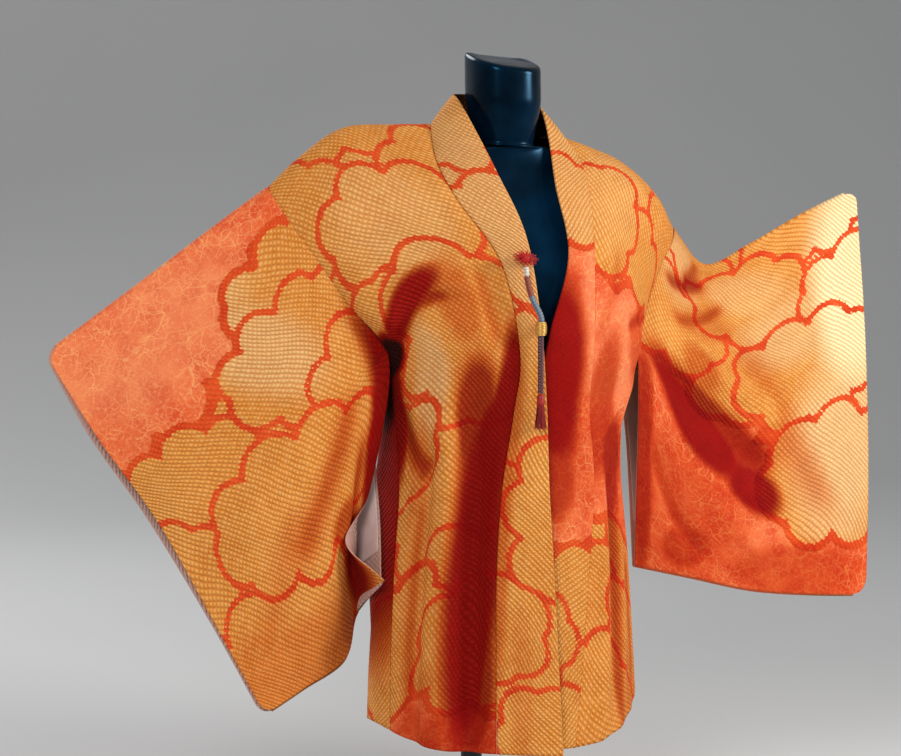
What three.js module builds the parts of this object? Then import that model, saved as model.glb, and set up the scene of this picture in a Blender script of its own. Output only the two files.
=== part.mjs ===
// A hip-length kimono jacket worn by a limbless dress form on a short stand.
// Millimetres, +Z up, the jacket's front faces -Y. Right and left are the wearer's: right is -X.
import * as THREE from "three";

// Driving sizes.
const SHOULDER = 900; // height of the neck point of the shoulder above the floor
const WALL = 1.5; // cloth
const SEAM = 0.4; // gap at a seam
const SLEEVE_LENGTH = 505; // fold to bottom edge
const ARMHOLE = 230; // part of the sleeve that is sewn to the body
const BAND_WIDTH = 70; // collar band, finished
const BAND_WALL = 3;
const BASE_RADIUS = 160;
const BASE_HEIGHT = 14;
const POLE = { x: -20, y: 50, radius: 13 };
const NECK = { halfWidth: 43, halfDepth: 46, bottom: 22, top: -79, slope: 0.16 };

const cloth = new THREE.MeshStandardMaterial({ color: 0xd09040, roughness: 0.8 });
const lining = new THREE.MeshStandardMaterial({ color: 0xd8c0b8, roughness: 0.6 });
const gloss = new THREE.MeshStandardMaterial({ color: 0x10181c, roughness: 0.2 });
const steel = new THREE.MeshStandardMaterial({ color: 0x202428, roughness: 0.4, metalness: 0.6 });
const braid = new THREE.MeshStandardMaterial({ color: 0x60202a, roughness: 0.7 });
const red = new THREE.MeshStandardMaterial({ color: 0xa01818, roughness: 0.9 });
const gold = new THREE.MeshStandardMaterial({ color: 0xc09030, roughness: 0.4 });

const part = new THREE.Group();

// Places are written as x, y and the drop below the shoulder's neck point.
function at(x, y, drop) {
  return new THREE.Vector3(x, y, SHOULDER - drop);
}

function add(name, geometry, material) {
  const mesh = new THREE.Mesh(geometry, material);
  mesh.name = name;
  part.add(mesh);
}

// A smooth value at t (0 to the last index) through equally spaced values.
function smooth(points, t) {
  const last = points.length - 1;
  const i = Math.min(Math.floor(t), last - 1);
  const f = t - i;
  const p1 = points[i];
  const p2 = points[i + 1];
  const p0 = i > 0 ? points[i - 1] : p1.clone().multiplyScalar(2).sub(p2);
  const p3 = i < last - 1 ? points[i + 2] : p2.clone().multiplyScalar(2).sub(p1);
  const m1 = p2.clone().sub(p0).multiplyScalar(0.5);
  const m2 = p3.clone().sub(p1).multiplyScalar(0.5);
  const f2 = f * f;
  const f3 = f2 * f;
  return p1.clone().multiplyScalar(2 * f3 - 3 * f2 + 1)
    .add(m1.multiplyScalar(f3 - 2 * f2 + f))
    .add(p2.clone().multiplyScalar(-2 * f3 + 3 * f2))
    .add(m2.multiplyScalar(f3 - f2));
}

// The point of a sheet at row r and column c (as fractions 0 to 1) of a table of points.
function sheetPoint(table, r, c) {
  const across = table.map((row) => smooth(row, c * (row.length - 1)));
  return smooth(across, r * (table.length - 1));
}

// A grid of points, rows by columns, from a function of two fractions.
function grid(rows, columns, pointAt) {
  const made = [];
  for (let r = 0; r <= rows; r += 1) {
    const line = [];
    for (let c = 0; c <= columns; c += 1) {
      line.push(pointAt(r / rows, c / columns));
    }
    made.push(line);
  }
  return made;
}

// The outward normals of a grid. A ring of rows closes on itself.
function normalsOf(points, ring) {
  const rows = points.length;
  const columns = points[0].length;
  return points.map((line, r) => line.map((p, c) => {
    const up = ring ? points[(r + 1) % rows][c] : points[Math.min(r + 1, rows - 1)][c];
    const down = ring ? points[(r + rows - 1) % rows][c] : points[Math.max(r - 1, 0)][c];
    const right = line[Math.min(c + 1, columns - 1)];
    const left = line[Math.max(c - 1, 0)];
    return up.clone().sub(down).cross(right.clone().sub(left)).normalize();
  }));
}

// A closed wall between two grids of the same size, outer and inner.
function wall(outer, inner, ring) {
  const rows = outer.length;
  const columns = outer[0].length;
  const positions = [];
  const corner = (layer, r, c) => layer[r % rows][c];
  const quad = (a, b, c, d) => {
    for (const p of [a, b, c, a, c, d]) {
      positions.push(p.x, p.y, p.z);
    }
  };
  const spans = ring ? rows : rows - 1;
  for (let r = 0; r < spans; r += 1) {
    for (let c = 0; c < columns - 1; c += 1) {
      quad(corner(outer, r, c), corner(outer, r + 1, c), corner(outer, r + 1, c + 1), corner(outer, r, c + 1));
      quad(corner(inner, r, c), corner(inner, r, c + 1), corner(inner, r + 1, c + 1), corner(inner, r + 1, c));
    }
    const e = columns - 1;
    quad(corner(outer, r, 0), corner(inner, r, 0), corner(inner, r + 1, 0), corner(outer, r + 1, 0));
    quad(corner(outer, r, e), corner(outer, r + 1, e), corner(inner, r + 1, e), corner(inner, r, e));
  }
  if (!ring) {
    const e = rows - 1;
    for (let c = 0; c < columns - 1; c += 1) {
      quad(outer[0][c], outer[0][c + 1], inner[0][c + 1], inner[0][c]);
      quad(outer[e][c], inner[e][c], inner[e][c + 1], outer[e][c + 1]);
    }
  }
  const made = new THREE.BufferGeometry();
  made.setAttribute("position", new THREE.Float32BufferAttribute(positions, 3));
  made.computeVertexNormals();
  return made;
}

// A sheet of cloth with its middle on the grid; side is +1 or -1 so that the faces point out.
function sheet(points, thickness, side, ring, keep = (p) => p) {
  const normals = normalsOf(points, ring);
  const moved = (p, r, c, d) => keep(p.clone().addScaledVector(normals[r][c], d));
  const move = (d) => points.map((line, r) => line.map((p, c) => moved(p, r, c, d)));
  const outer = move((side * thickness) / 2);
  const inner = move((-side * thickness) / 2);
  return side > 0 ? wall(outer, inner, ring) : wall(inner, outer, ring);
}

// The body. Below the arm it is a ring round the body: half width and half depth by drop.
const RING = [
  { drop: 330, halfWidth: 152, front: 116, back: 104, sideFront: -24, sideBack: 18 },
  { drop: 420, halfWidth: 147, front: 116, back: 103, sideFront: -28, sideBack: 24 },
  { drop: 520, halfWidth: 156, front: 117, back: 106, sideFront: -32, sideBack: 30 },
  { drop: 630, halfWidth: 163, front: 118, back: 110, sideFront: -35, sideBack: 36 },
  { drop: 735, halfWidth: 166, front: 119, back: 112, sideFront: -38, sideBack: 40 },
];
const ROUND = 2.3;

// The depth of the ring at a place across it, and the place across at a depth.
function depthAt(x, row, half) {
  return half * Math.pow(1 - Math.pow(Math.min(Math.abs(x) / row.halfWidth, 1), ROUND), 1 / ROUND);
}
function widthAt(y, row, half) {
  return row.halfWidth * Math.pow(1 - Math.pow(Math.min(Math.abs(y) / half, 1), ROUND), 1 / ROUND);
}

// Five places across a front or back half of a ring row, from the inner edge to the side.
function ringLine(side, row, innerX, front, lift) {
  const half = front ? row.front : row.back;
  const sideY = front ? row.sideFront : row.sideBack;
  const start = Math.asin(Math.min(Math.abs(innerX) / row.halfWidth, 1)) * Math.sign(innerX * side);
  const end = Math.asin(widthAt(sideY, row, half) / row.halfWidth);
  const line = [];
  for (let i = 0; i < 5; i += 1) {
    const angle = start + ((end - start) * i) / 4;
    const x = Math.sin(angle) * row.halfWidth;
    const y = i < 4 ? depthAt(x, row, half) * (front ? -1 : 1) : sideY;
    line.push(at(side * x, y, row.drop + lift * Math.pow(i / 4, 2)));
  }
  return line;
}

// The collar seam below the chest, across from the middle, for each ring row.
const SEAM_BELOW = {
  right: [-34, -48, -55, -56, -56],
  left: [66, 74, 66, 56, 46],
};

// How far the hem rises from the middle to the side.
const HEM_RISE = { right: 22, left: 48 };

// The upper rows of each body length, front underarm to back underarm, five places across.
const UPPER = {
  right: [
    { row: "bust", places: [[-28, -118, 262], [-76, -116, 262], [-118, -100, 261], [-150, -74, 260], [-169, -46, 258]] },
    { row: "chest", places: [[-46, -106, 158], [-100, -100, 172], [-155, -84, 186], [-195, -66, 200], [-216, -50, 204]] },
    { row: "collarbone", places: [[-88, -72, 84], [-128, -66, 96], [-175, -58, 110], [-222, -48, 132], [-252, -36, 150]] },
    { row: "front yoke", places: [[-101, -38, 38], [-142, -36, 42], [-196, -32, 52], [-246, -24, 78], [-281, -14, 102]] },
    { row: "fold", places: [[-90, 6, -2], [-140, 6, -3], [-202, 6, 1], [-255, 6, 34], [-297, 6, 71]] },
    { row: "back yoke", places: [[-70, 36, 0], [-126, 42, 14], [-190, 42, 26], [-244, 36, 60], [-281, 28, 100]] },
    { row: "shoulder blade", places: [[-36, 58, 4], [-104, 68, 40], [-170, 68, 70], [-222, 58, 108], [-252, 46, 150]] },
    { row: "blade", places: [[-1, 70, 14], [-66, 84, 80], [-130, 84, 120], [-182, 72, 160], [-216, 56, 204]] },
    { row: "back", places: [[-1, 96, 140], [-58, 98, 180], [-110, 94, 215], [-146, 76, 245], [-162, 32, 262]] },
  ],
  left: [
    { row: "bust", places: [[70, -112, 262], [100, -108, 262], [130, -92, 262], [152, -66, 264], [164, -34, 266]] },
    { row: "chest", places: [[74, -104, 170], [108, -94, 180], [140, -74, 194], [172, -40, 204], [192, -6, 210]] },
    { row: "collarbone", places: [[84, -72, 92], [114, -68, 108], [148, -52, 126], [188, -20, 152], [219, 14, 168]] },
    { row: "front yoke", places: [[88, -34, 44], [122, -36, 54], [164, -28, 72], [210, 0, 106], [242, 32, 142]] },
    { row: "fold", places: [[80, 6, 12], [118, 8, 24], [165, 14, 43], [216, 32, 80], [254, 56, 125]] },
    { row: "back yoke", places: [[66, 36, 12], [114, 46, 29], [164, 56, 52], [213, 72, 96], [246, 84, 143]] },
    { row: "shoulder blade", places: [[36, 58, 12], [98, 72, 50], [150, 82, 92], [192, 92, 138], [222, 98, 178]] },
    { row: "blade", places: [[1, 70, 14], [66, 86, 82], [122, 94, 130], [166, 94, 180], [194, 90, 214]] },
    { row: "back", places: [[1, 96, 140], [58, 100, 180], [110, 98, 215], [148, 82, 248], [162, 44, 266]] },
  ],
};

// Soft folds that hang down the body: place across (0 at the inner edge), width, depth and span.
const BODY_FOLDS = {
  right: [
    { across: 0.3, width: 0.1, depth: 9, from: 300, to: 760, lean: -0.06 },
    { across: 0.62, width: 0.09, depth: 6, from: 240, to: 700, lean: 0.1 },
  ],
  left: [
    { across: 0.35, width: 0.1, depth: 6, from: 280, to: 760, lean: 0.05 },
    { across: 0.7, width: 0.09, depth: 5, from: 330, to: 760, lean: 0 },
  ],
};

// How deep a fold is at a drop: nothing at its upper end, full from a third of the way down.
function foldDepth(fold, across, drop) {
  const along = (drop - fold.from) / (fold.to - fold.from);
  if (along <= 0) {
    return 0;
  }
  const middle = fold.across + fold.lean * along;
  const off = (across - middle) / fold.width;
  const grown = Math.min(along * 3, 1);
  return fold.depth * grown * grown * (3 - 2 * grown) * Math.exp(-off * off);
}

function bodyTable(name) {
  const side = name === "right" ? -1 : 1;
  const rows = [];
  for (let i = RING.length - 1; i >= 0; i -= 1) {
    rows.push(ringLine(side, RING[i], SEAM_BELOW[name][i], true, i === 4 ? -HEM_RISE[name] : 0));
  }
  for (const upper of UPPER[name]) {
    rows.push(upper.places.map((p) => at(p[0], p[1], p[2])));
  }
  for (let i = 0; i < RING.length; i += 1) {
    rows.push(ringLine(side, RING[i], side * 0.95, false, i === 4 ? -HEM_RISE[name] : 0));
  }
  return rows;
}
const BODY = { right: bodyTable("right"), left: bodyTable("left") };

// The middle surface of a body length: along 0 at the front hem, 1 at the back hem.
function bodyPoint(name, along, across) {
  const p = sheetPoint(BODY[name], along, across);
  const drop = SHOULDER - p.z;
  let inward = 0;
  for (const fold of BODY_FOLDS[name]) {
    inward += foldDepth(fold, across, drop) * (along < 0.5 ? 1 : 0.8);
  }
  const rim = Math.min(across, 1 - across) * 8;
  const pull = (inward * Math.min(rim, 1)) / Math.max(Math.hypot(p.x, p.y), 1);
  return p.add(new THREE.Vector3(-p.x * pull, -p.y * pull, 0));
}

const BODY_ROWS = 54;
const BODY_COLUMNS = 12;

// The two lengths stay on their own sides of the centre-back seam.
function keepSide(side) {
  return (p) => {
    if (p.y > 0) {
      p.x = side * Math.max(side * p.x, SEAM / 2);
    }
    return p;
  };
}

for (const name of ["right", "left"]) {
  const side = name === "right" ? -1 : 1;
  const points = grid(BODY_ROWS, BODY_COLUMNS, (r, c) => bodyPoint(name, r, c));
  add("body_" + name, sheet(points, WALL, side, false, keepSide(side)), cloth);
}

// The gussets fill the side between the front and back edges of a body length.
const FOLD_ROW = 9;
const LAST_ROW = 18;
const GUSSET_ROWS = 4.9; // from the hem up to just under the arm, in rows of the body table

// A place just past the side edge of a body length, and the way the cloth runs there.
function pastEdge(name, along) {
  const edge = bodyPoint(name, along, 1);
  const way = edge.clone().sub(bodyPoint(name, along, 0.96)).normalize();
  return { place: edge.addScaledVector(way, SEAM + 0.9), way };
}

// Down is 0 at the top of the gusset, 1 at the hem; across is 0 at the front.
function gussetPoint(name, down, across) {
  const reach = (GUSSET_ROWS * (1 - down)) / LAST_ROW;
  const a = pastEdge(name, reach);
  const b = pastEdge(name, 1 - reach);
  const gap = a.place.distanceTo(b.place);
  const t = across;
  const t2 = t * t;
  const t3 = t2 * t;
  return a.place.multiplyScalar(2 * t3 - 3 * t2 + 1)
    .addScaledVector(a.way, gap * (t3 - 2 * t2 + t))
    .addScaledVector(b.place, -2 * t3 + 3 * t2)
    .addScaledVector(b.way, -gap * (t3 - t2));
}
for (const name of ["right", "left"]) {
  const points = grid(20, 5, (r, c) => gussetPoint(name, r, c));
  add("gusset_" + name, sheet(points, WALL, name === "right" ? 1 : -1, false), cloth);
}

// The sleeves hang as flat bags. Rows by distance from the fold, five places from armhole to cuff.
const SLEEVES = {
  right: {
    fold: [[-299, 6, 72], [-366, 4, 118], [-436, 2, 167], [-507, -1, 216], [-566, -5, 256]],
    front: [
      { row: "armhole", places: [[-240, -40, 160], [-308, -40, 212], [-377, -34, 262], [-449, -26, 310], [-509, -18, 352]] },
      { row: "underarm", places: [[-172, -47, 262], [-240, -54, 316], [-314, -50, 362], [-387, -40, 410], [-441, -28, 452]] },
      { row: "mouth", places: [[-188, -8, 432], [-212, -36, 450], [-264, -48, 486], [-322, -46, 532], [-375, -38, 576]] },
      { row: "bottom", places: [[-170, -43, 532], [-172, 44, 586], [-196, 20, 634], [-262, -18, 658], [-319, -42, 681]] },
    ],
    back: [
      { row: "armhole", places: [[-243, 52, 162], [-312, 30, 216], [-382, 20, 264], [-452, 14, 310], [-512, 6, 352]] },
      { row: "underarm", places: [[-172, 34, 266], [-240, 22, 318], [-316, 14, 364], [-389, 6, 411], [-444, 0, 453]] },
      { row: "mouth", places: [[-166, -13, 432], [-206, 14, 462], [-266, 4, 488], [-324, -12, 533], [-377, -32, 577]] },
      { row: "bottom", places: [[-171, -36, 536], [-177, 54, 588], [-194, 30, 637], [-260, -9, 661], [-320, -37, 684]] },
    ],
  },
  left: {
    fold: [[256, 60, 130], [312, 78, 175], [386, 96, 150], [472, 112, 112], [556, 128, 81]],
    front: [
      { row: "armhole", places: [[213, 6, 182], [290, 36, 236], [376, 62, 246], [468, 84, 222], [556, 106, 196]] },
      { row: "underarm", places: [[169, -36, 270], [262, 0, 322], [362, 36, 340], [462, 64, 328], [555, 90, 310]] },
      { row: "mouth", places: [[178, -6, 402], [260, 16, 448], [362, 40, 462], [458, 56, 458], [552, 76, 452]] },
      { row: "bottom", places: [[198, 42, 546], [280, 44, 566], [368, 48, 588], [456, 56, 600], [546, 68, 608]] },
    ],
    back: [
      { row: "armhole", places: [[222, 96, 184], [284, 112, 238], [362, 128, 248], [456, 138, 224], [552, 128, 197]] },
      { row: "underarm", places: [[180, 52, 272], [246, 84, 324], [344, 114, 342], [448, 122, 330], [551, 114, 311]] },
      { row: "mouth", places: [[188, 44, 404], [248, 76, 450], [350, 98, 464], [450, 98, 459], [551, 82, 453]] },
      { row: "bottom", places: [[200, 52, 548], [280, 54, 568], [367, 58, 590], [455, 66, 602], [546, 74, 610]] },
    ],
  },
};
const FOLD_ROUND = 4; // half the thickness of the fold at the top
const SLEEVE_ROWS = 20;
const SLEEVE_COLUMNS = 12;

// The edge of the body length that the sleeve is sewn to: t is 0 at the fold, 1 at the underarm.
const ARM_ROWS = 4; // rows of the body table between the fold and the underarm
function armEdge(name, t, front) {
  const rows = FOLD_ROW + (front ? -ARM_ROWS : ARM_ROWS) * t;
  return pastEdge(name, rows / LAST_ROW).place;
}

function sleeveTable(name, layer) {
  const sleeve = SLEEVES[name];
  const fold = sleeve.fold.map((p) => at(p[0], p[1], p[2]));
  const rows = sleeve[layer].map((row) => row.places.map((p) => at(p[0], p[1], p[2])));
  return [fold, ...rows];
}
const SLEEVE = {
  right: { front: sleeveTable("right", "front"), back: sleeveTable("right", "back") },
  left: { front: sleeveTable("left", "front"), back: sleeveTable("left", "back") },
};
const SEWN = 0.5; // the rows of the table reach the underarm half way

// How the open inner edge of the right front layer sways off its table, in nine even steps from the fold.
const SWAY = [
  { step: "fold", by: [0, 0, 0] },
  { step: "upper", by: [0, 0, 0] },
  { step: "armhole", by: [0, 0, 0] },
  { step: "low armhole", by: [0, 0, 0] },
  { step: "underarm", by: [0, 0, 0] },
  { step: "bulge", by: [8, -14, 0] },
  { step: "mouth", by: [4, -20, 0] },
  { step: "open bow", by: [-34, -15, 0] },
  { step: "bottom", by: [0, 0, 0] },
].map((row) => new THREE.Vector3(row.by[0], row.by[1], row.by[2]));

// The middle surface of one layer of a sleeve: down 0 at the fold, across 0 at the armhole.
function sleevePoint(name, layer, down, across) {
  const p = sheetPoint(SLEEVE[name][layer], down, across);
  const sign = layer === "front" ? -1 : 1;
  p.y += sign * FOLD_ROUND * Math.max(1 - down * 6, 0);
  const reach = Math.max(1 - across * 3.2, 0);
  if (reach > 0) {
    const start = sheetPoint(SLEEVE[name][layer], down, 0);
    const edge = armEdge(name, Math.min(down / SEWN, 1), layer === "front");
    const out = sheetPoint(SLEEVE[name][layer], down, 0.12).sub(start).normalize();
    edge.addScaledVector(out, 0.9);
    const below = Math.min(Math.max((down - SEWN) / 0.16, 0), 1);
    const share = reach * reach * (1 - below * below * (3 - 2 * below));
    p.addScaledVector(edge.sub(start), share);
    if (name === "right" && layer === "front") {
      p.addScaledVector(smooth(SWAY, down * 8), reach * reach);
    }
  }
  return p;
}

// A sleeve is a flat tube: up the front layer, over the fold and down the back layer.
function sleeveGrid(name) {
  const rows = [];
  const line = (pointAt) => {
    const made = [];
    for (let c = 0; c <= SLEEVE_COLUMNS; c += 1) {
      made.push(pointAt(c / SLEEVE_COLUMNS));
    }
    return made;
  };
  for (let r = SLEEVE_ROWS; r >= 0; r -= 1) {
    rows.push(line((c) => sleevePoint(name, "front", r / SLEEVE_ROWS, c)));
  }
  rows.push(line((c) => {
    const p = sleevePoint(name, "front", 0, c).lerp(sleevePoint(name, "back", 0, c), 0.5);
    return p.add(new THREE.Vector3(0, 0, 2));
  }));
  for (let r = 0; r <= SLEEVE_ROWS; r += 1) {
    rows.push(line((c) => sleevePoint(name, "back", r / SLEEVE_ROWS, c)));
  }
  rows.push(line((c) => {
    const p = sleevePoint(name, "front", 1, c).lerp(sleevePoint(name, "back", 1, c), 0.5);
    return p.add(new THREE.Vector3(0, 0, -2));
  }));
  return rows;
}
for (const name of ["right", "left"]) {
  const side = name === "right" ? 1 : -1;
  add("sleeve_" + name, sheet(sleeveGrid(name), WALL, -side, true), cloth);
}

// The lining shows inside the open side of each sleeve, on the back layer's own rows.
const LINING = { wall: 1, gap: 0.35, firstRow: 10, lastRow: 18, columns: 4 };
for (const name of ["right", "left"]) {
  const sign = name === "right" ? -1 : 1;
  const points = sleeveGrid(name);
  const normals = normalsOf(points, true);
  const backStart = SLEEVE_ROWS + 2;
  const layer = (lift) => {
    const made = [];
    for (let r = backStart + LINING.firstRow; r <= backStart + LINING.lastRow; r += 1) {
      made.push(points[r].slice(0, LINING.columns).map((p, c) => p.clone().addScaledVector(normals[r][c], sign * lift)));
    }
    return made;
  };
  const near = layer(WALL / 2 + LINING.gap);
  const far = layer(WALL / 2 + LINING.gap + LINING.wall);
  add("lining_" + name, name === "right" ? wall(near, far, false) : wall(far, near, false), lining);
}

// The collar band's free edge, for each row of the body from the front hem to the back of the neck.
const BAND_FREE = {
  right: [
    { row: "hem", place: [24, -130, 741] },
    { row: "low skirt", place: [18, -129, 632] },
    { row: "hip", place: [12, -128, 520] },
    { row: "waist", place: [6, -127, 418] },
    { row: "high waist", place: [3, -126, 326] },
    { row: "bust", place: [-4, -124, 226] },
    { row: "chest", place: [-16, -108, 126] },
    { row: "collarbone", place: [-38, -70, 50] },
    { row: "front yoke", place: [-51, -34, 0] },
    { row: "fold", place: [-56, 4, -34] },
    { row: "back yoke", place: [-50, 34, -40] },
    { row: "shoulder blade", place: [-30, 55, -41] },
    { row: "blade", place: [0, 62, -40] },
  ],
  left: [
    { row: "hem", place: [-27, -109, 735] },
    { row: "low skirt", place: [-24, -108, 630] },
    { row: "hip", place: [-20, -107, 520] },
    { row: "waist", place: [-14, -107, 420] },
    { row: "high waist", place: [-6, -109, 332] },
    { row: "bust", place: [10, -114, 244] },
    { row: "chest", place: [40, -103, 150] },
    { row: "collarbone", place: [36, -74, 68] },
    { row: "front yoke", place: [44, -36, 14] },
    { row: "fold", place: [51, 4, -22] },
    { row: "back yoke", place: [47, 34, -34] },
    { row: "shoulder blade", place: [29, 55, -39] },
    { row: "blade", place: [0, 62, -40] },
  ],
};
const NECK_ROW = 12;
const BAND_BULGE = 2.5;
const BAND_ROWS = 30; // on each side
const BAND_EDGE = {
  right: BAND_FREE.right.map((row) => at(row.place[0], row.place[1], row.place[2])),
  left: BAND_FREE.left.map((row) => at(row.place[0], row.place[1], row.place[2])),
};

// Up is 0 at the hem, 1 at the back of the neck; across is 0 at the seam, 1 at the free edge.
function bandPoint(name, up, across) {
  const free = smooth(BAND_EDGE[name], up * NECK_ROW);
  const seam = bodyPoint(name, (up * NECK_ROW) / LAST_ROW, 0);
  seam.x *= Math.min((1 - up) * 12, 1);
  const way = free.clone().sub(seam).normalize();
  seam.addScaledVector(way, WALL / 2 + SEAM + 1.2);
  const p = seam.lerp(free, across);
  const out = new THREE.Vector3(p.x, p.y, 0).normalize();
  return p.addScaledVector(out, BAND_BULGE * Math.sin(Math.PI * across));
}
{
  const rows = grid(BAND_ROWS, 4, (r, c) => bandPoint("right", r, c));
  const rest = grid(BAND_ROWS, 4, (r, c) => bandPoint("left", 1 - r, c)).slice(1);
  add("collar_band", sheet([...rows, ...rest], BAND_WALL, 1, false), cloth);
}

// The form: rings by drop, wider than deep, from the flat top under the neck to the flat bottom.
const FORM = [
  { drop: 22, halfWidth: 50, front: 47, back: 48 },
  { drop: 26, halfWidth: 72, front: 43, back: 50 },
  { drop: 38.8, halfWidth: 102, front: 45, back: 56 },
  { drop: 56.6, halfWidth: 130, front: 51, back: 64 },
  { drop: 83.4, halfWidth: 149, front: 62, back: 73 },
  { drop: 122, halfWidth: 156, front: 79, back: 82 },
  { drop: 165, halfWidth: 154, front: 94, back: 88 },
  { drop: 215, halfWidth: 144, front: 100, back: 88 },
  { drop: 270, halfWidth: 135, front: 97, back: 84 },
  { drop: 340, halfWidth: 126, front: 88, back: 78 },
  { drop: 400, halfWidth: 122, front: 83, back: 78 },
  { drop: 470, halfWidth: 128, front: 86, back: 84 },
  { drop: 550, halfWidth: 136, front: 90, back: 92 },
  { drop: 630, halfWidth: 139, front: 90, back: 94 },
  { drop: 700, halfWidth: 134, front: 84, back: 88 },
];
const FORM_SIDES = 40;
const FORM_ROUND = 2.2;

function formPoint(row, turn) {
  const c = Math.cos(turn);
  const s = Math.sin(turn);
  const half = s < 0 ? row.front : row.back;
  const shape = (v) => Math.sign(v) * Math.pow(Math.abs(v), 2 / FORM_ROUND);
  return at(row.halfWidth * shape(c), half * shape(s), row.drop);
}

// A closed body through rings of the same number of points, with flat ends.
function rings(lines) {
  const positions = [];
  const tri = (a, b, c) => {
    for (const p of [a, b, c]) {
      positions.push(p.x, p.y, p.z);
    }
  };
  const sides = lines[0].length;
  for (let r = 0; r < lines.length - 1; r += 1) {
    for (let c = 0; c < sides; c += 1) {
      const d = (c + 1) % sides;
      tri(lines[r][c], lines[r + 1][c], lines[r + 1][d]);
      tri(lines[r][c], lines[r + 1][d], lines[r][d]);
    }
  }
  const middle = (line) => line.reduce((m, p) => m.add(p), new THREE.Vector3()).divideScalar(sides);
  const top = middle(lines[0]);
  const bottom = middle(lines[lines.length - 1]);
  for (let c = 0; c < sides; c += 1) {
    const d = (c + 1) % sides;
    tri(top, lines[0][c], lines[0][d]);
    tri(bottom, lines[lines.length - 1][d], lines[lines.length - 1][c]);
  }
  const made = new THREE.BufferGeometry();
  made.setAttribute("position", new THREE.Float32BufferAttribute(positions, 3));
  made.computeVertexNormals();
  return made;
}

// A value between the rows of the form's table.
function formRow(t) {
  const value = (key) => smooth(FORM.map((row) => new THREE.Vector3(row[key], 0, 0)), t).x;
  return { drop: value("drop"), halfWidth: value("halfWidth"), front: value("front"), back: value("back") };
}
const FORM_RINGS = 22;
const formLines = [];
for (let r = 0; r <= FORM_RINGS; r += 1) {
  const row = formRow((r / FORM_RINGS) * (FORM.length - 1));
  const line = [];
  for (let c = 0; c < FORM_SIDES; c += 1) {
    line.push(formPoint(row, (c / FORM_SIDES) * Math.PI * 2));
  }
  formLines.push(line);
}
add("form_torso", rings(formLines), gloss);

const neckLines = [];
for (const up of [1, 0.75, 0.5, 0.25, 0]) {
  const line = [];
  for (let c = 0; c < 28; c += 1) {
    const turn = (c / 28) * Math.PI * 2;
    const x = NECK.halfWidth * Math.cos(turn) * (1 + 0.1 * (1 - up) * (1 - up));
    const y = NECK.halfDepth * Math.sin(turn) * (1 + 0.1 * (1 - up) * (1 - up));
    const drop = (NECK.bottom - 0.3) * (1 - up) + (NECK.top + NECK.slope * x) * up;
    line.push(at(x, y, drop));
  }
  neckLines.push(line);
}
add("form_neck", rings(neckLines), gloss);

// The stand: a round base and a plain pole up to the flat bottom of the form.
const formBottom = SHOULDER - FORM[FORM.length - 1].drop;
const poleHeight = formBottom - 0.3 - BASE_HEIGHT - 0.3;
const pole = new THREE.CylinderGeometry(POLE.radius, POLE.radius, poleHeight, 32);
pole.rotateX(Math.PI / 2);
pole.translate(POLE.x, POLE.y, BASE_HEIGHT + 0.3 + poleHeight / 2);
add("stand_pole", pole, steel);

const base = new THREE.LatheGeometry([
  new THREE.Vector2(0, 0),
  new THREE.Vector2(BASE_RADIUS, 0),
  new THREE.Vector2(BASE_RADIUS, BASE_HEIGHT * 0.6),
  new THREE.Vector2(BASE_RADIUS - 8, BASE_HEIGHT),
  new THREE.Vector2(0, BASE_HEIGHT),
], 64);
base.rotateX(Math.PI / 2);
base.translate(POLE.x, POLE.y, 0);
add("stand_base", base, steel);

// The tie at the front: a tuft and a braided cord with a wrapped knot and a tassel.
const TIE = { x: -10, y: -137, radius: 3.4 };
const tieRoute = new THREE.CatmullRomCurve3([
  at(-25, -128, 160.2),
  at(-24.5, -131, 176),
  at(-20, -134, 196),
  at(TIE.x, TIE.y, 218),
  at(TIE.x, TIE.y, 234),
  at(TIE.x, TIE.y, 250),
  at(TIE.x, TIE.y, 280),
  at(TIE.x, TIE.y, 308),
]);
const round = new THREE.Shape();
round.absarc(0, 0, TIE.radius, 0, Math.PI * 2);
const cord = new THREE.ExtrudeGeometry(round, { steps: 26, curveSegments: 5, extrudePath: tieRoute });
add("tie_cord", cord, braid);

function turned(profile, sides, x, y, drop) {
  const made = new THREE.LatheGeometry(profile.map((p) => new THREE.Vector2(p[0], p[1])), sides);
  made.rotateX(Math.PI / 2);
  made.translate(x, y, SHOULDER - drop);
  return made;
}
add("tie_knot", turned([[4.2, -8], [6.4, -7], [7.6, -3], [7.6, 3], [6.4, 7], [4.2, 8], [4.2, -8]], 20, TIE.x, TIE.y, 232), gold);
add("tie_tassel", turned([[0, -42], [7.5, -42], [6, -24], [4.2, -8], [4.6, -3], [3, -0.3], [0, -0.3]], 20, TIE.x, TIE.y, 308.2), red);
add("tie_tuft", turned([[0, -9], [5, -8.5], [10, -5], [12, 0], [10, 5], [5, 8.5], [0, 9]], 20, -25, -126.2, 150.5), red);

// The origin lies on the floor under the middle of the base.
for (const mesh of part.children) {
  mesh.geometry.translate(-POLE.x, -POLE.y, 0);
}

export default part;
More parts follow.
